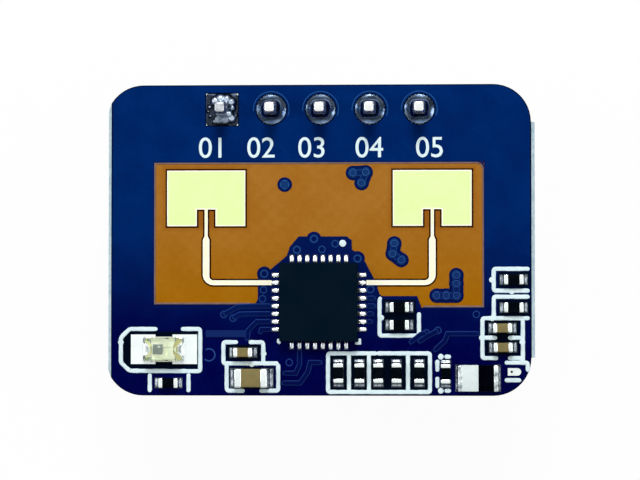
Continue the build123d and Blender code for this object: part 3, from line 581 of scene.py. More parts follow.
def lamp_base_finish():
    """White lamp carrier, faintly cream, with a pale green cast at its marked end."""
    finish = Finish("lamp_base_white")
    white = finish.mottle(2.0, (246, 253, 226), (251, 255, 238))
    end = finish.zone((span("lamp_base")[0][0], middle("lamp_base")[1]), (0.34, 1.0), 0.12)
    return finish.done(finish.mix(end, white, (190, 224, 168)), 8.0, (0.45, 0.6), 0.002, specular=0.1)


# One finish for each material slot: names, two colours, clouds per mm, roughness, grains per mm, relief
FINISH = {
    "solder_mask": mask_finish(),
    "laminate": laminate_finish(),
    "plated_copper": gold_finish(),
    "pin_metal": pin_finish(),
    "lamp_base": lamp_base_finish(),
    "lamp_lens": plain(
        "lamp_resin", (249, 255, 240), (252, 255, 246), 1.4, (0.04, 0.1), 5.0, 0.004, strength=0.3,
        transmission=0.92, ior=1.35),
    "covered_copper": plain(
        "copper_under_mask", (120, 76, 48), (134, 86, 56), 1.5, (0.3, 0.45), 10.0, 0.002, metallic=0.8),
    "tin": plain(
        "tinned_metal", (240, 248, 246), (228, 238, 236), 2.0, (0.18, 0.3), 6.0, 0.002, metallic=0.95),
    "solder": plain(
        "reflowed_solder", (206, 214, 218), (150, 158, 166), 2.2, (0.14, 0.26), 5.0, 0.004, metallic=1.0),
    "header_plastic": plain(
        "header_plastic_black", (20, 21, 23), (29, 30, 32), 0.8, (0.42, 0.6), 8.0, 0.008, specular=0.35),
    "chip_mould": plain(
        "chip_mould_black", (2, 18, 30), (6, 20, 34), 0.6, (0.55, 0.72), 11.0, 0.010, specular=0.012),
    "resistor_ceramic": plain(
        "white_alumina", (226, 230, 226), (240, 242, 238), 3.0, (0.5, 0.65), 12.0, 0.004, specular=0.3),
    "resistor_coat": plain(
        "black_coat", (1, 5, 10), (6, 11, 17), 3.0, (0.35, 0.5), 10.0, 0.004, specular=0.01),
    "capacitor_ceramic": plain(
        "capacitor_ceramic_tan", (134, 121, 78), (121, 111, 73), 2.0, (0.45, 0.6), 14.0, 0.003, specular=0.1),
    "lamp_die": plain(
        "lamp_die_grey", (92, 112, 108), (112, 130, 124), 6.0, (0.3, 0.45), 20.0, 0.002, metallic=0.2),
    "diode_mould": plain(
        "diode_mould_black", (0, 0, 6), (2, 4, 12), 2.0, (0.4, 0.55), 10.0, 0.004, specular=0.006),
    "diode_band": plain(
        "diode_band_white", (216, 229, 228), (226, 237, 236), 1.5, (0.45, 0.6), 8.0, 0.003, specular=0.1),
    "print": plain(
        "white_print", (228, 246, 250), (216, 238, 244), 3.0, (0.55, 0.7), 12.0, 0.004, specular=0.05),
}
LAND_FINISH = land_finish()
# Pieces whose finish differs from that of their slot
OWN_FINISH = {
    # Both joints' blue-grey colours hold a painted reflection of the blue mask round them.
    "header_joints_smooth": joint_finish(
        "smooth_joint", (156, 182, 218), (86, 110, 144), (0.14, 0.26), 2.0, 0.02, 0.1, 0.36),
    "first_joint_lumpy": joint_finish(
        "lumpy_joint", (198, 212, 232), (110, 126, 148), (0.24, 0.4), 5.0, 0.03, 0.26, 0.06),
    "chip_solder_beads": plain(
        "chip_solder_bead", (250, 252, 250), (236, 242, 242), 2.0, (0.16, 0.26), 4.0, 0.002, metallic=0.9),
    "diode_caps": plain(
        "diode_cap_tin", (240, 248, 248), (132, 144, 150), 3.2, (0.2, 0.34), 4.0, 0.015, metallic=0.9),
    "lamp_hollow_rims": plain(
        "lamp_cream_rim", (246, 240, 160), (232, 232, 150), 4.0, (0.3, 0.45), 6.0, 0.002, metallic=0.2),
    "lamp_gold_shelf": plain(
        "lamp_gold_shelf", (206, 204, 122), (186, 182, 104), 4.0, (0.3, 0.45), 6.0, 0.002, metallic=0.3),
    "lamp_green_marks": plain(
        "lamp_green_mark", (104, 150, 90), (124, 166, 108), 4.0, (0.5, 0.6), 6.0, 0.001),
    "lamp_solder_skins": LAND_FINISH,
    # The fillets' darker grey is a painted dark reflection of the surroundings in the solder.
    "part_solder_skins": plain(
        "part_fillet", (178, 188, 196), (92, 100, 110), 5.0, (0.2, 0.34), 8.0, 0.02, metallic=1.0),
    # The dark brown band is partly the copper's etched side and partly a painted shadow that reaches out over
    # the laminate at the copper's edge.
    "copper_edge_shadow_bands": plain(
        "copper_side_and_shadow", (50, 12, 2), (40, 10, 2), 2.0, (0.5, 0.65), 8.0, 0.002, specular=0.0),
    "plated_rims": plain(
        "plated_rim", (255, 255, 240), (252, 253, 230), 2.0, (0.4, 0.5), 6.0, 0.001,
        metallic=0.2, specular=0.1),
    # The lip's grey-brown is thin mask over the laminate, with a painted highlight along the window's edge.
    "window_lip": plain(
        "mask_lip_highlight", (134, 108, 98), (118, 96, 92), 2.0, (0.4, 0.55), 8.0, 0.002, specular=0.05),
}

for entry in frame["record"]["subparts"]:
    materials = frame["nodes"][entry["node"]].data.materials
    if len(materials) == 0:
        materials.append(None)
    for number in range(len(materials)):
        materials[number] = FINISH[entry["material_slot"]]
frame["nodes"]["part_lands"].data.materials[0] = LAND_FINISH


# Pin header

def pin(centre):
    """A square wire: a superellipse section carried up the axis, its half width drawn in at both ends."""
    low, high = span("header_pins")
    heights = np.concatenate([
        [0, 0.015, 0.05, 0.16, 0.34, 0.5, 0.7], np.linspace(1.2, 10.4, 6),
        [10.84, 11.04, 11.2, 11.38, 11.49, 11.532, 11.54],
    ])
    halves = np.concatenate([
        [0.15, 0.185, 0.205, 0.24, 0.29, 0.316, 0.32], np.full(6, 0.32),
        [0.32, 0.316, 0.295, 0.262, 0.245, 0.232, 0.2],
    ])
    angle = circle(32)
    z = low[2] + heights * (high[2] - low[2]) / heights[-1]
    return round_loops(centre, halves[:, None] * rounded_square(angle, 1.0, 9.0), angle, z[:, None])


def smooth_joint(centre, height):
    """A joint's skin: round the pin and up it, the distance out falls from the pad's edge to the
    pin's as one less the way up to a power that wavers round the pin, with two soft waves."""
    up = np.linspace(0, 1, 20)[:, None] ** 1.3
    angle = circle(48)
    neck = rounded_square(angle, 0.335, 5.0)
    phase = rng.uniform(-0.5, 0.5, 3)
    power = 4.3 - 0.7 * np.cos(2 * angle + phase[0]) + 0.3 * np.sin(3 * angle + 3 * phase[1])
    waves = np.sin(3 * angle + 4 * phase[1]) + 0.7 * np.sin(5 * angle + 6 * phase[2])
    radius = neck + (0.785 - neck) * (1 - up) ** power * (1 + 0.1 * waves * np.sin(math.pi * up))
    z = LAND_TOP - SINK + height * up * (1 + 0.08 * np.sin(2 * angle + phase[2]))
    return round_loops(centre, radius, angle, z)


# Lumps of the first joint: place from the pin, size and height
LUMPS = [
    (-0.34, 0.42, 0.24, 0.3), (-0.06, 0.55, 0.25, 0.4), (0.26, 0.5, 0.25, 0.42),
    (0.5, 0.36, 0.22, 0.36), (0.55, 0.06, 0.15, 0.26), (0.38, -0.26, 0.2, 0.3),
    (0.5, -0.46, 0.22, 0.24), (0.14, -0.56, 0.24, 0.15), (-0.16, -0.52, 0.26, 0.13),
    (-0.38, -0.62, 0.13, 0.12), (-0.64, 0.12, 0.1, 0.2), (-0.6, -0.34, 0.09, 0.18),
    (-0.72, -0.1, 0.07, 0.16), (0.74, -0.3, 0.08, 0.18),
]


def lumpy_joint(centre):
    """The first joint: over a wavering square foot the height is a thin skin plus a cone round the
    pin plus flat-topped lumps, each falling off as the exponential of minus the distance to a power."""
    share = np.linspace(1, 0.03, 40)[:, None]
    angle = circle(120)
    skin = 0.04
    waver = 0.008 * np.sin(5 * angle) + 0.007 * np.sin(11 * angle + 1.0)
    radius = share * (rounded_square(angle, 0.838, 12.0) * (1 + waver))
    x, y = radius * np.cos(angle), radius * np.sin(angle)
    z = skin + 0.42 * np.exp(-(np.hypot(x, y) / 0.37) ** 6)
    for place_x, place_y, size, height in LUMPS:
        z = np.maximum(z, skin + height * np.exp(-(np.hypot(x - place_x, y - place_y) / size) ** 5))
    return round_loops(centre, radius, angle, LAND_TOP - SINK + z * (1 - share ** 14))


piece("header_pins_smooth", [pin(place) for place in PIN_PLACES], "pin_metal", ["header_pins"], True)
joints = [smooth_joint(place, height) for place, height in zip(PIN_PLACES[1:], (0.86, 0.9, 0.88, 0.84))]
piece("header_joints_smooth", joints, "solder", ["header_solder_joints"])
piece("first_joint_lumpy", [lumpy_joint(PIN_PLACES[0])], "solder")


# Radar chip

chip_low, chip_high = span("chip_body")


def chip_places():
    """Middle of each chip land at the body's side, and the way its solder points."""
    half = (chip_high[0] - chip_low[0]) / 2
    for turn in range(4):
        angle = turn * math.pi / 2
        cosine, sine = math.cos(angle), math.sin(angle)
        for number in range(8):
            shift = (number - 3.5) * LEAD_PITCH
            yield (CHIP[0] + half * cosine - shift * sine, CHIP[1] + half * sine + shift * cosine), angle


def chip_bead():
    """A lead's solder at +X: a pillow with round edges that lies from the body out over its land."""
    length, height = 0.45 + rng.uniform(-0.01, 0.02), 0.1 + rng.uniform(0, 0.02)
    centre = (length / 2 - 0.005, 0, LAND_TOP + height / 2 - 0.06)
    return rounded_box(centre, (length, 0.245, height + 0.12), 0.1)


beads = [turned(chip_bead(), place, angle) for place, angle in chip_places()]
piece("chip_solder_beads", beads[:24], "solder", ["chip_solder"])
# The front row keeps the slot's darker solder finish: a painted shade on the row away from the light.
piece("chip_solder_beads_front_shaded", beads[24:], "solder")
chip_block = rounded_box((chip_low + chip_high) / 2, chip_high - chip_low, 0.035)
piece("chip_mould_block", [chip_block], "chip_mould", ["chip_body"], True)


# Small parts with two metal ends

def both_ends(surface, centre=(0, 0)):
    """A surface of the +X end and its twin at the other end, moved to the part's middle."""
    return [turned(each, centre, 0.0) for each in (surface, turned(surface, (0, 0), math.pi))]


def part_pieces(node):
    """What turns and places a part's surfaces, with the slight skew that a part keeps after
    soldering, and the part's size along and across its own axis and up."""
    low, high = span(node)
    along, across, height = high - low
    angle = rng.uniform(-0.012, 0.012)
    if across > along:
        along, across = across, along
        angle += math.pi / 2

    def seated(surfaces):
        return [turned(surface, (low + high) / 2, angle) for surface in surfaces]

    return seated, along, across, height


def named(family):
    """Names of the small parts of one family."""
    return sorted(name[:-5] for name in frame["nodes"] if name.startswith(family) and name.endswith("_body"))


solder_skins = []
bodies, ends, coats = [], [], []
resistors = named("resistor_")
for name in resistors:
    seated, length, width, height = part_pieces(name + "_ends")
    waist = LAND_TOP + height / 2
    bodies += seated([rounded_box((0, 0, waist), (length - 0.06, width - 0.012, height - 0.05), 0.02)])
    coat_place = (0, 0, LAND_TOP + height - 0.012)
    coats += seated([rounded_box(coat_place, (length - 0.42, width + 0.004, 0.05), 0.02)])
    ends += seated(both_ends(rounded_box((length / 2 - 0.11, 0, waist), (0.22, width, height), 0.045)))
    solder_skins += seated(both_ends(fillet(length / 2, width / 2 + 0.005, 0.21, 0.22)))
piece("resistor_blocks", bodies, "resistor_ceramic", [name + "_body" for name in resistors], True)
piece("resistor_caps", ends, "tin", [name + "_ends" for name in resistors], True)
piece("resistor_black_tops", coats, "resistor_coat", ["resistor_coats"], True)

bodies, ends = [], []
capacitors = named("capacitor_")
for name in capacitors:
    seated, length, width, height = part_pieces(name + "_ends")
    waist = LAND_TOP + height / 2
    grip, reach = (0.38, 0.25) if length > 1.2 else (0.25, 0.21)
    bodies += seated([rounded_box((0, 0, waist), (length - 0.1, width - 0.03, height - 0.03), 0.05)])
    ends += seated(both_ends(rounded_box((length / 2 - grip / 2, 0, waist), (grip, width, height), 0.075)))
    solder_skins += seated(both_ends(fillet(length / 2, width / 2, reach, height * 0.5)))
piece("capacitor_blocks", bodies, "capacitor_ceramic", [name + "_body" for name in capacitors], True)
piece("capacitor_caps", ends, "tin", [name + "_ends" for name in capacitors], True)


# Two-tone diode

DIODE_GRIP = 0.2
diode_low, diode_high = span("diode_ends")
length, width, height = diode_high - diode_low
diode = (diode_low + diode_high) / 2
split = span("diode_band")[1][0]
waist = LAND_TOP + height / 2


def diode_half(end, side_trim, top_trim):
    """One half of the body: a rounded block from the split to the inner side of an end."""
    size = (abs(end - split), width - side_trim, height - top_trim)
    return rounded_box(((split + end) / 2, diode[1], waist), size, 0.04)


dark_half = diode_half(diode_high[0] - DIODE_GRIP, 0.02, 0.02)
pale_half = diode_half(diode_low[0] + DIODE_GRIP, 0.0, 0.01)
piece("diode_dark_half", [dark_half], "diode_mould", ["diode_body"], True)
piece("diode_pale_half", [pale_half], "diode_band", ["diode_band"], True)
diode_cap = rounded_box((length / 2 - 0.125, 0, waist), (0.25, width, height), 0.06)
piece("diode_caps", both_ends(diode_cap, diode), "tin", ["diode_ends"], True)
solder_skins += both_ends(fillet(length / 2, width / 2, 0.12, 0.42), diode)


# Lamp

lamp_low, lamp_high = span("lamp_ends")
lamp = (lamp_low + lamp_high) / 2
LAMP_LENGTH, LAMP_WIDTH = (lamp_high - lamp_low)[:2]
base_top = span("lamp_base")[1][2]
lens_top = span("lamp_lens")[1][2]


def lamp_outline(length, width, notch):
    """Plan of the lamp: a rounded rectangle whose short ends are drawn in by a cosine hollow."""
    angle = circle(96)
    edge = rounded_square(angle, 1.0, 14)
    x, y = edge * np.cos(angle), edge * np.sin(angle)
    hollow = notch * np.clip(np.cos(np.clip(y / 0.62, -1, 1) * math.pi / 2), 0, 1) ** 1.3
    x = np.sign(x) * np.maximum(np.abs(x) * length / 2 - hollow * np.abs(x) ** 3, 0)
    return np.stack([x, y * width / 2], -1)


def lamp_layers(levels):
    """A form of the lamp carried up through levels, each an outline with its height."""
    points, quads = stacked(levels)
    return points + np.array([lamp[0], lamp[1], 0]), quads


def lens_skin():
    """The lens: its walls lean in as they rise and round over into a flat top."""
    foot = base_top + 0.001
    levels = [(0.0, 0.0), (0.02, 0.25), (0.05, 0.6), (0.075, 0.88), (0.1, 0.965), (0.14, 0.995), (0.2, 1.0)]
    return lamp_layers([
        (lamp_outline(LAMP_LENGTH - 0.16 - 2 * cut, LAMP_WIDTH - 0.07 - 1.6 * cut, 0.26),
         foot + (lens_top - foot) * share)
        for cut, share in levels
    ])


def base_block():
    """The white carrier under the lens, with its hollow ends."""
    levels = [(0.02, LAND_TOP + 0.03), (0.0, LAND_TOP + 0.05), (0.0, base_top - 0.02), (0.015, base_top)]
    return lamp_layers([
        (lamp_outline(LAMP_LENGTH - 0.07 - 2 * cut, LAMP_WIDTH - 0.02 - 2 * cut, 0.27), z)
        for cut, z in levels
    ])


def lamp_end(side):
    """One plated end: a slice of the lamp's plan a little larger than the carrier, cut off square inside."""
    outline = lamp_outline(LAMP_LENGTH, LAMP_WIDTH, 0.28)
    outline[:, 0] = np.maximum(outline[:, 0], LAMP_LENGTH / 2 - 0.43)
    levels = [(1, LAND_TOP), (1, base_top + 0.012), (0.985, base_top + 0.02)]
    return lamp_layers([(outline * [side, share], z) for share, z in levels])


piece("lamp_plated_ends", [lamp_end(1), lamp_end(-1)], "tin", ["lamp_ends"], True)
piece("lamp_carrier", [base_block()], "lamp_base", ["lamp_base"], True)
piece("lamp_clear_lens", [lens_skin()], "lamp_lens", ["lamp_lens"])

die = middle("lamp_die")
die_size = span("lamp_die")[1] - span("lamp_die")[0]
piece("lamp_light_die", [rounded_box(die, die_size, 0.02)], "lamp_die", ["lamp_die"], True)


def bond_wire(start, end, rise):
    """A fine wire: a circle carried along an arch whose height is a half sine of the way across."""
    way = np.linspace(0, 1, 15)
    line = np.array(start) + (np.array(end) - np.array(start)) * way[:, None]
    line[:, 2] += rise * np.sin(math.pi * way)
    heading = np.gradient(line, axis=0)
    heading /= np.linalg.norm(heading, axis=1, keepdims=True)
    aside = np.cross(heading, [0, 0, 1.0])
    aside /= np.linalg.norm(aside, axis=1, keepdims=True)
    turn = circle(8)[None, :, None]
    ring = aside[:, None] * np.cos(turn) + np.cross(aside, heading)[:, None] * np.sin(turn)
    return closed_loops(line[:, None] + 0.013 * ring)


die_top = die[2] + die_size[2] / 2
foot_x, foot_y = die[0] + 0.06, die[1] + 0.12
wire = bond_wire((foot_x, foot_y, die_top), (lamp[0] + 0.42, lamp[1] + 0.1, base_top + 0.01), 0.11)
ball = rounded_box((foot_x, foot_y, die_top + 0.012), (0.1, 0.1, 0.035), 0.017)
piece("lamp_inner_metal", [wire, ball], "tin")
shelves = [
    rounded_box((lamp[0] + x, lamp[1], base_top + 0.004), (long, 0.78, 0.012), 0.005)
    for x, long in ((0.48, 0.42), (-0.3, 0.78))
]
piece("lamp_inner_shelves", shelves, "lamp_base")


def hollow_rim(side, half_width, depth):
    """A low strip that follows the hollow in one end of the lamp, under the lens."""
    swing = np.linspace(-1.15, 1.15, 15)
    path = np.stack([side * (LAMP_LENGTH / 2 - depth * np.cos(swing)), 0.5 * np.sin(swing)], -1)
    return strip(path + lamp[:2], half_width, 0.02, base_top + 0.012)


marks = [
    rounded_box((lamp[0] - 0.77, lamp[1] + rise, base_top + 0.022), (0.12, 0.2, 0.03), 0.012)
    for rise in (0.5, -0.5)
]
piece("lamp_hollow_rims", [hollow_rim(-1, 0.05, 0.43)], "lamp_base")
piece("lamp_gold_shelf", [hollow_rim(1, 0.13, 0.42)], "lamp_base")
piece("lamp_green_marks", marks, "lamp_base")

lamp_skin = fillet(LAMP_LENGTH / 2 - 0.16, 0.36, 0.24, 0.1, 2.0, 0.002)
piece("lamp_solder_skins", both_ends(lamp_skin, lamp), "solder")
piece("part_solder_skins", solder_skins, "solder", ["small_part_solder"])


# Tracks and vias that show as relief in the mask, from the chip's middle

TRACK_RUNS = [
    [(-2.44, -0.2), (-3.5, -0.2), (-4.2, -0.24), (-4.9, -0.63)],
    [(-2.44, -0.6), (-3.5, -0.6), (-4.1, -0.62), (-4.42, -0.82)],
    [(-2.44, -1.0), (-3.2, -1.0), (-3.65, -1.46), (-3.7, -1.95)],
    [(-2.44, -1.4), (-2.95, -1.4), (-3.05, -1.6)],
    [(2.44, 0.2), (2.9, 0.2)],
    [(2.44, -0.2), (2.9, -0.2)],
    [(2.44, -0.6), (2.8, -0.6)],
    [(2.44, -1.0), (2.75, -1.0)],
    [(4.66, -2.1), (5.2, -1.65), (5.51, -1.58)],
    [(5.1, -2.05), (5.55, -1.75), (6.1, -1.45)],
    [(5.9, -2.5), (6.45, -2.0), (6.6, -1.62), (8.2, -1.62)],
    [(-1.0, -2.44), (-1.0, -3.2), (-1.2, -3.65), (-1.85, -3.65)],
    [(0.15, -3.1), (-0.45, -3.1), (-0.58, -3.6), (-0.98, -4.15), (-1.9, -4.15)],
]
FAINT_RUN = [(-5.8, -1.62), (-3.8, -1.62)]
WINDOW_VIAS = [
    [(-1.77, 6.05)],
    [(1.75, 6.64), (2.4, 6.67), (2.19, 6.12)],
    [(3.87, 3.01), (3.79, 2.48), (4.23, 2.16)],
    [(7.05, 1.38), (7.05, 0.94), (7.05, 0.33), (6.53, 0.33), (6.04, 0.33)],
]
EDGE_VIAS = [(-2.82, 1.46), (-0.26, 3.25), (-1.14, 2.69), (1.98, 2.24), (2.64, 0.66)]
CHIP_VIAS = [
    (0.15, 2.71), (0.83, 3.0), (-2.86, 0.63), (-2.91, 0.17), (-4.9, -0.63),
    (-4.42, -0.82), (-1.53, -3.1), (5.51, -1.58), (6.1, -1.45), (8.07, -0.63),
]
# Places, radius over the laminate, and how far each ring swells
VIA_FAMILIES = [(sum(WINDOW_VIAS, []), 0.385, 0.024), (EDGE_VIAS, 0.385, 0.007), (CHIP_VIAS, 0.25, 0.007)]
RIDGE_FOOT = MASK_TOP - 0.002


def from_chip(points):
    """Points measured from the chip's middle, in the frame."""
    return np.array(points, float) + CHIP[:2]


def via_tent(radius, swell):
    """Height over the laminate of the mask on a covered via: a flat skirt with a rounded edge, a
    ring over the via's land and a dimple over its hole."""
    ring, hole = 0.17, 0.075
    skirt = MASK_TOP - BOARD_TOP + 0.002

    def profile(r):
        edge = 1 - (r / radius) ** 12
        round_ring = swell * np.exp(-((r - ring) / 0.055) ** 2)
        return skirt * edge + round_ring - 0.03 * np.exp(-(r / hole) ** 2) - 0.002 * (1 - edge)

    return profile


def group_ring(r):
    """Height of the mask over a via's land, on top of the ridge that joins its group."""
    return 0.02 + 0.044 * np.exp(-((r - 0.16) / 0.05) ** 2)


def arc_ridge(centre, radius, start, stop, count, half_width, height):
    """A low ridge along an arc in plan."""
    swing = np.linspace(start, stop, count)
    arc = np.stack([centre[0] + radius * np.cos(swing), centre[1] + radius * np.sin(swing)], -1)
    return strip(arc, half_width, height, RIDGE_FOOT, power=2)


relief = [strip(from_chip(run), 0.14, 0.045, RIDGE_FOOT, power=5) for run in TRACK_RUNS]
relief.append(strip(from_chip(FAINT_RUN), 0.09, 0.02, RIDGE_FOOT, power=3))
for group in WINDOW_VIAS:
    for pair in zip(group, group[1:]):
        relief.append(strip(from_chip(pair), 0.37, MASK_TOP - BOARD_TOP + 0.003, BOARD_TOP, power=10))
        relief.append(strip(from_chip(pair), 0.2, 0.04, RIDGE_FOOT, power=6))
    if len(group) > 1:
        relief += [disc_relief(place, 0.24, MASK_TOP, group_ring) for place in from_chip(group)]
for places, radius, swell in VIA_FAMILIES:
    relief += [disc_relief(place, radius, BOARD_TOP, via_tent(radius, swell)) for place in from_chip(places)]
relief.append(arc_ridge((CHIP[0] - 5.67, CHIP[1] - 2.71), 0.31, -2.4, 2.2, 20, 0.05, 0.02))
relief += [arc_ridge(place, 0.92, -0.4, math.pi + 0.1, 40, 0.035, 0.0135) for place in PIN_PLACES[1:]]
piece("mask_relief", relief, "solder_mask")


# Edges round the antennas' copper, with a painted shadow past the copper's edge, and the window's lip, with a
# painted highlight

def corner_arc(centre, radius, start, stop):
    """Points on an arc in plan, with its angles in quarter turns."""
    angle = np.linspace(start, stop, 6) * math.pi / 2
    return [(centre[0] + radius * math.cos(each), centre[1] + radius * math.sin(each)) for each in angle]


def antenna_outline(side):
    """Outline of one antenna from the chip's middle, counterclockwise for side 1: bent feed,
    taper, notches and patch."""
    high = span("antenna_right")[1]
    top, far = high[1] - CHIP[1], high[0] - CHIP[0]
    centre, foot, entry = far - PATCH_HALF, top - PATCH_WIDTH, 1.0
    right = corner_arc((centre - 0.38, entry + 0.425), 0.55, 3, 4)
    right += [(centre + 0.17, foot - 0.71), (centre + 0.08, foot - 0.51), (centre + 0.08, foot + 0.86)]
    right += [(centre + 0.48, foot + 0.86), (centre + 0.48, foot), (far, foot), (far, top)]
    left = [(centre - PATCH_HALF, top), (centre - PATCH_HALF, foot)]
    left += [(centre - 0.48, foot), (centre - 0.48, foot + 0.86)]
    left += [(centre - 0.08, foot + 0.86), (centre - 0.08, foot - 0.51), (centre - 0.17, foot - 0.71)]
    left += corner_arc((centre - 0.38, entry + 0.335), 0.21, 4, 3)
    left += [(2.44, entry + 0.125), (2.44, entry - 0.125)]
    return np.array(right + left) * [side, 1]


def edge_band(outline, section):
    """A closed band round an outline: each section point is a distance out and a height, and the
    distance is laid off along the mitre of the two sides that meet at each corner."""
    after = np.roll(outline, -1, axis=0) - outline
    after /= np.hypot(*after.T)[:, None]
    before = np.roll(after, 1, axis=0)
    out_before = np.stack([before[:, 1], -before[:, 0]], -1)
    out_after = np.stack([after[:, 1], -after[:, 0]], -1)
    mitre = (out_before + out_after) / (1 + (out_before * out_after).sum(1))[:, None]
    section = np.array(section)
    plan = outline[:, None] + mitre[:, None] * section[None, :, :1]
    height = np.broadcast_to(section[None, :, 1:], (len(outline), len(section), 1))
    loops = np.concatenate([plan, height], -1)
    loops = np.concatenate([loops, loops[:1]])
    return loops.reshape(-1, 3), grid_quads(len(outline) + 1, len(section), wrap=True)


# Section of the copper's edge band: its outer part lies on the laminate as a painted shadow.
edge_band_and_shadow_section = [
    (0.085, BOARD_TOP - 0.002), (0.08, BOARD_TOP + 0.004), (0.012, LAND_TOP - 0.004),
    (-0.03, LAND_TOP - 0.004), (-0.03, BOARD_TOP - 0.002),
]
rim_section = [
    (0.001, LAND_TOP - 0.002), (-0.008, LAND_TOP + 0.002),
    (-0.055, LAND_TOP + 0.002), (-0.06, LAND_TOP - 0.002),
]
outlines = [antenna_outline(side)[::side] + CHIP[:2] for side in (1, -1)]
shadowed_edge_bands = [edge_band(outline, edge_band_and_shadow_section) for outline in outlines]
piece("copper_edge_shadow_bands", shadowed_edge_bands, "covered_copper", (), True)
piece("plated_rims", [edge_band(outline, rim_section) for outline in outlines], "plated_copper", (), True)

(window_x, window_y), (window_half_x, window_half_y) = window_zone()
window_left, window_right = window_x - window_half_x + 0.09, window_x + window_half_x - 0.09
window_top = window_y + window_half_y - 0.09
lip = [
    (CHIP[0] - 3.5, CHIP[1] - 0.07), (window_left, CHIP[1] - 0.07), (window_left, window_top),
    (window_right - 0.3, window_top), (window_right - 0.09, window_top - 0.09),
    (window_right, window_top - 0.3), (window_right, CHIP[1] - 0.23), (CHIP[0] + 5.35, CHIP[1] - 0.23),
]
piece("window_lip", [strip(lip, 0.055, 0.028, BOARD_TOP, power=2)], "solder_mask")


def corner_web(corner, radius):
    """Mask that fills a corner of the window outside a quarter circle of the given radius."""
    turn = np.linspace(0, math.pi / 2, 9)
    arc = np.stack([np.cos(turn), np.sin(turn)], -1) * radius + np.array(corner) - radius
    outline = np.concatenate([np.repeat([corner], 5, axis=0), arc])
    return stacked([(outline, BOARD_TOP - 0.002), (outline, MASK_TOP)])


web = corner_web((window_right + 0.03, window_top + 0.03), 0.3)
piece("window_corner_mask", [web], "solder_mask")


# Printed lines and dots, by the node that each is measured from the middle of

PRINTED_LINES = {
    "lamp_base": [
        [(-0.33, 1.04), (-1.78, 1.04), (-2.23, 0.6), (-2.23, -0.68),
         (-1.78, -1.11), (1.87, -1.13), (1.87, 1.04), (0.87, 1.04)],
    ],
    "resistor_under_lamp_body": [[(-0.97, 0.5), (-0.97, -0.48)], [(1.03, 0.5), (1.03, -0.48)]],
    "resistor_row_1_body": [
        [(2.0, 1.01), (-0.535, 1.01), (-0.535, -0.97), (4.69, -0.97), (4.69, 1.01), (1.95, 1.01)],
        [(0.54, -0.97), (0.54, 1.01)],
        [(1.565, -0.97), (1.565, 1.01)],
        [(3.565, -0.97), (3.565, 1.01)],
    ],
    "resistor_by_diode_body": [
        [(-0.43, 0.72), (-0.43, 0.1)],
        [(-0.43, -0.15), (-0.43, -0.74)],
        [(-0.07, 0.87), (0.27, 0.87)],
        [(-0.07, -0.87), (0.27, -0.87)],
    ],
    "capacitor_left_small_body": [
        [(-0.27, 0.52), (-1.02, 0.52), (-1.02, -0.57), (1.83, -0.57)],
        [(0.28, 0.52), (1.03, 0.52), (1.03, -0.57)],
    ],
    "capacitor_left_large_body": [
        [(-1.29, 0.74), (-1.29, -0.66), (-0.36, -0.66)],
        [(1.36, 0.74), (1.36, -0.66), (0.39, -0.66)],
    ],
    "resistor_pair_upper_body": [[(-0.9, 0.48), (-1.02, 0.42), (-1.02, -1.46), (1.0, -1.46), (1.0, -0.26)]],
    "resistor_edge_upper_body": [[(0.82, 0.55), (-1.02, 0.55), (-1.02, -0.57), (0.82, -0.57)]],
    "resistor_edge_lower_body": [[(0.82, 0.55), (-1.02, 0.55), (-1.02, -0.55)]],
    "capacitor_edge_upper_body": [
        [(1.4, 0.5), (-1.02, 0.5), (-1.02, -1.54), (-0.22, -1.54)],
        [(1.04, 0.5), (1.04, -1.77)],
        [(1.04, -1.54), (0.28, -1.54)],
        [(-1.02, -0.5), (-0.27, -0.5)],
        [(1.04, -0.5), (0.28, -0.5)],
    ],
    "test_land": [[(-0.5, 0.47), (0.6, 0.47), (0.68, 0.42), (0.68, 0)], [(-0.5, -0.43), (0.35, -0.43)]],
}
CORNER_MARKS = [
    [(-2.09, -1.88), (-2.09, -2.04), (-1.98, -2.12)],
    [(2.09, -1.86), (2.09, -2.11), (1.84, -2.11)],
]
PRINTED_DOTS = {
    "lamp_base": [(-2.23, 0.35)],
    "capacitor_left_small_body": [(0.44, -0.6), (1.05, -0.07)],
    "resistor_pair_upper_body": [(-0.93, -0.54)],
    "capacitor_edge_upper_body": [(-0.52, 0.5), (-1.05, -0.5), (0.48, 1.87), (-0.53, 2.47), (1.02, -0.72)],
    "resistor_by_diode_body": [(-0.25, 0.87), (-0.25, -0.87)],
}


def ink_dot(radius):
    """A blob of print: its height falls off to the edge as one less the distance to a power."""
    return lambda r: 0.018 * (1 - (r / radius) ** 4) - 0.001


printed = [
    strip(eased(points, 0.13) + middle(node)[:2], 0.112, 0.016, MASK_TOP, wobble=0.035)
    for node, paths in PRINTED_LINES.items() for points in paths
]
for node, places in PRINTED_DOTS.items():
    printed += [disc_relief(place + middle(node)[:2], 0.15, MASK_TOP, ink_dot(0.15)) for place in places]
printed += [strip(from_chip(mark), 0.075, 0.016, MASK_TOP) for mark in CORNER_MARKS]
printed.append(disc_relief(from_chip((1.22, 3.02)), 0.18, MASK_TOP + 0.03, ink_dot(0.18)))
piece("printed_lines_smooth", printed, "print", ["printed_outlines"])


# Plain numbers that stand by the pins

NUMBER_PLACES = {"01": -5.57, "02": -3.07, "03": -0.44, "04": 2.51, "05": 5.62}
NUMBER_RISE = -2.03
NUMBER_SIZE = 1.5


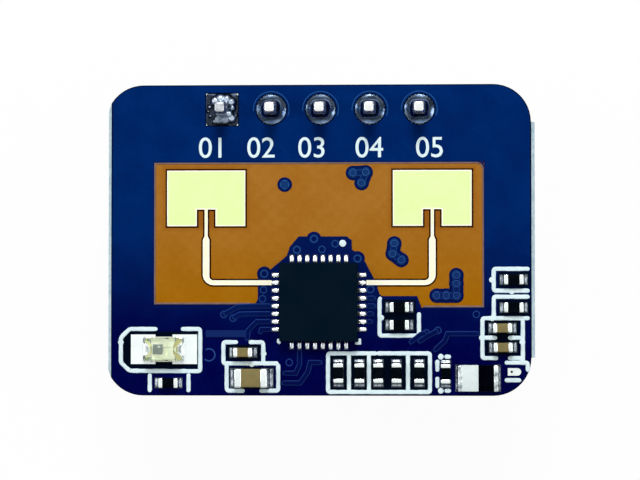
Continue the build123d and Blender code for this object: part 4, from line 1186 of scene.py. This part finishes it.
def printed_number(words, x):
    """A number as a thin raised print."""
    curve = bpy.data.curves.new("number", "FONT")
    curve.body = words
    curve.align_x, curve.align_y = "CENTER", "CENTER"
    curve.size = NUMBER_SIZE * MM
    curve.extrude = 0.008 * MM
    curve.bevel_depth = 0.005 * MM
    holder = bpy.data.objects.new("number", curve)
    mesh = bpy.data.meshes.new_from_object(holder)
    bpy.data.objects.remove(holder)
    mesh.name = "pin_number_" + words
    mesh.transform(Matrix.Translation(Vector((x, NUMBER_RISE, MASK_TOP + 0.008)) * MM))
    mesh.materials.clear()
    mesh.materials.append(FINISH["print"])
    made = in_scene("pin_number_" + words, mesh)
    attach(made, "root")


for words, x in NUMBER_PLACES.items():
    printed_number(words, x)


# Floor, lamps, world and camera

def stage_finish():
    """Pale floor: it shows white to the camera and in reflections, and keeps a soft shadow."""
    material = bpy.data.materials.new("pale_floor")
    material.use_nodes = True
    nodes = Nodes(material.node_tree)
    shader = nodes.tree.nodes["Principled BSDF"]
    shader.inputs["Base Color"].default_value = (0.9, 0.9, 0.9, 1)
    shader.inputs["Roughness"].default_value = 0.9
    shader.inputs["Specular IOR Level"].default_value = 0.0
    path = nodes.add("LightPath", {}, None)
    seen = nodes.math("MAXIMUM", path["Is Camera Ray"], path["Is Glossy Ray"])
    seen = nodes.math("MAXIMUM", seen, path["Is Transmission Ray"])
    white = nodes.add("Emission", {"Strength": 1.0})
    mixed = nodes.add("MixShader", {0: nodes.math("MULTIPLY", seen, 0.95), 1: shader.outputs[0], 2: white})
    nodes.feed(nodes.tree.nodes["Material Output"].inputs["Surface"], mixed)
    return material


def make_floor(height, rings=(0.0, 60.0, 600.0), sides=48):
    """A round floor under the pin ends: circles of growing radius at one height."""
    radius, angle = np.meshgrid(rings, circle(sides), indexing="ij")
    points = np.stack([radius * np.cos(angle), radius * np.sin(angle), np.full_like(radius, height)], -1)
    quads = grid_quads(len(rings), sides, wrap=True)
    mesh = bpy.data.meshes.new("floor")
    mesh.from_pydata((points.reshape(-1, 3) * MM).tolist(), [], quads.tolist())
    mesh.materials.append(stage_finish())
    floor = in_scene("floor", mesh)


make_floor(span("header_pins")[0][2] - 0.02)


def soft_lamp(name, place, size, power):
    """A square soft lamp aimed at the board's middle; place and size in metres."""
    lamp_data = bpy.data.lights.new(name, "AREA")
    lamp_data.size = size
    lamp_data.energy = power
    lamp_object = in_scene(name, lamp_data)
    aim = Vector((BOARD_MIDDLE * MM).tolist()) - Vector(place)
    lamp_object.location = place
    lamp_object.rotation_euler = aim.to_track_quat("-Z", "Y").to_euler()


soft_lamp("left_lamp", (-0.22, 0.03, 0.16), 0.12, 0.16)
soft_lamp("right_lamp", (0.24, -0.03, 0.18), 0.12, 0.12)
soft_lamp("rear_lamp", (0.01, 0.19, 0.22), 0.09, 0.57)

world = bpy.data.worlds.new("white_room")
bpy.context.scene.world = world
world.use_nodes = True
room = Nodes(world.node_tree)
path = room.add("LightPath", {}, None)
# Reflections see a soft ceiling over darker walls
upward = room.add("SeparateXYZ", {0: room.add("TexCoord", {}, "Generated")}, "Z")
ceiling = room.fit(upward, 0.42, 0.8, 0.12, 1.0)
seen = room.math("MAXIMUM", path["Is Camera Ray"], path["Is Transmission Ray"])
strength = room.fit(path["Is Glossy Ray"], 0.0, 1.0, room.fit(seen, 0.0, 1.0, 0.36, 1.0), ceiling)
background = room.tree.nodes["Background"]
background.inputs["Color"].default_value = (1, 1, 1, 1)
room.feed(background.inputs["Strength"], strength)

# Width of the picture in pixels, and how many of them a millimetre of the board takes
PICTURE_WIDTH = 640
SCALE = 19.45
SENSOR_WIDTH = 36
EYE = np.array([6.8, BOARD_MIDDLE[1] - 4.5, BOARD_TOP + 140.0])
AIM = np.array([-0.03, BOARD_MIDDLE[1] - 0.005, BOARD_TOP])


def make_camera():
    """Looks down on the board from nearly straight above, the rear edge at the picture's top."""
    away = EYE - AIM
    distance = np.linalg.norm(away)
    back = away / distance
    right = np.cross([0, 1.0, 0], back)
    right /= np.linalg.norm(right)
    turn = np.stack([right, np.cross(back, right), back], 1)
    data = bpy.data.cameras.new("camera")
    data.sensor_width = SENSOR_WIDTH
    data.lens = SENSOR_WIDTH * distance / (PICTURE_WIDTH / SCALE)
    data.clip_start, data.clip_end = 0.005, 5
    camera = in_scene("camera", data)
    camera.matrix_world = Matrix.Translation(Vector((EYE * MM).tolist())) @ Matrix(turn.tolist()).to_4x4()
    bpy.context.scene.camera = camera


make_camera()
bpy.context.scene.view_settings.view_transform = "Standard"

bpy.context.view_layer.update()
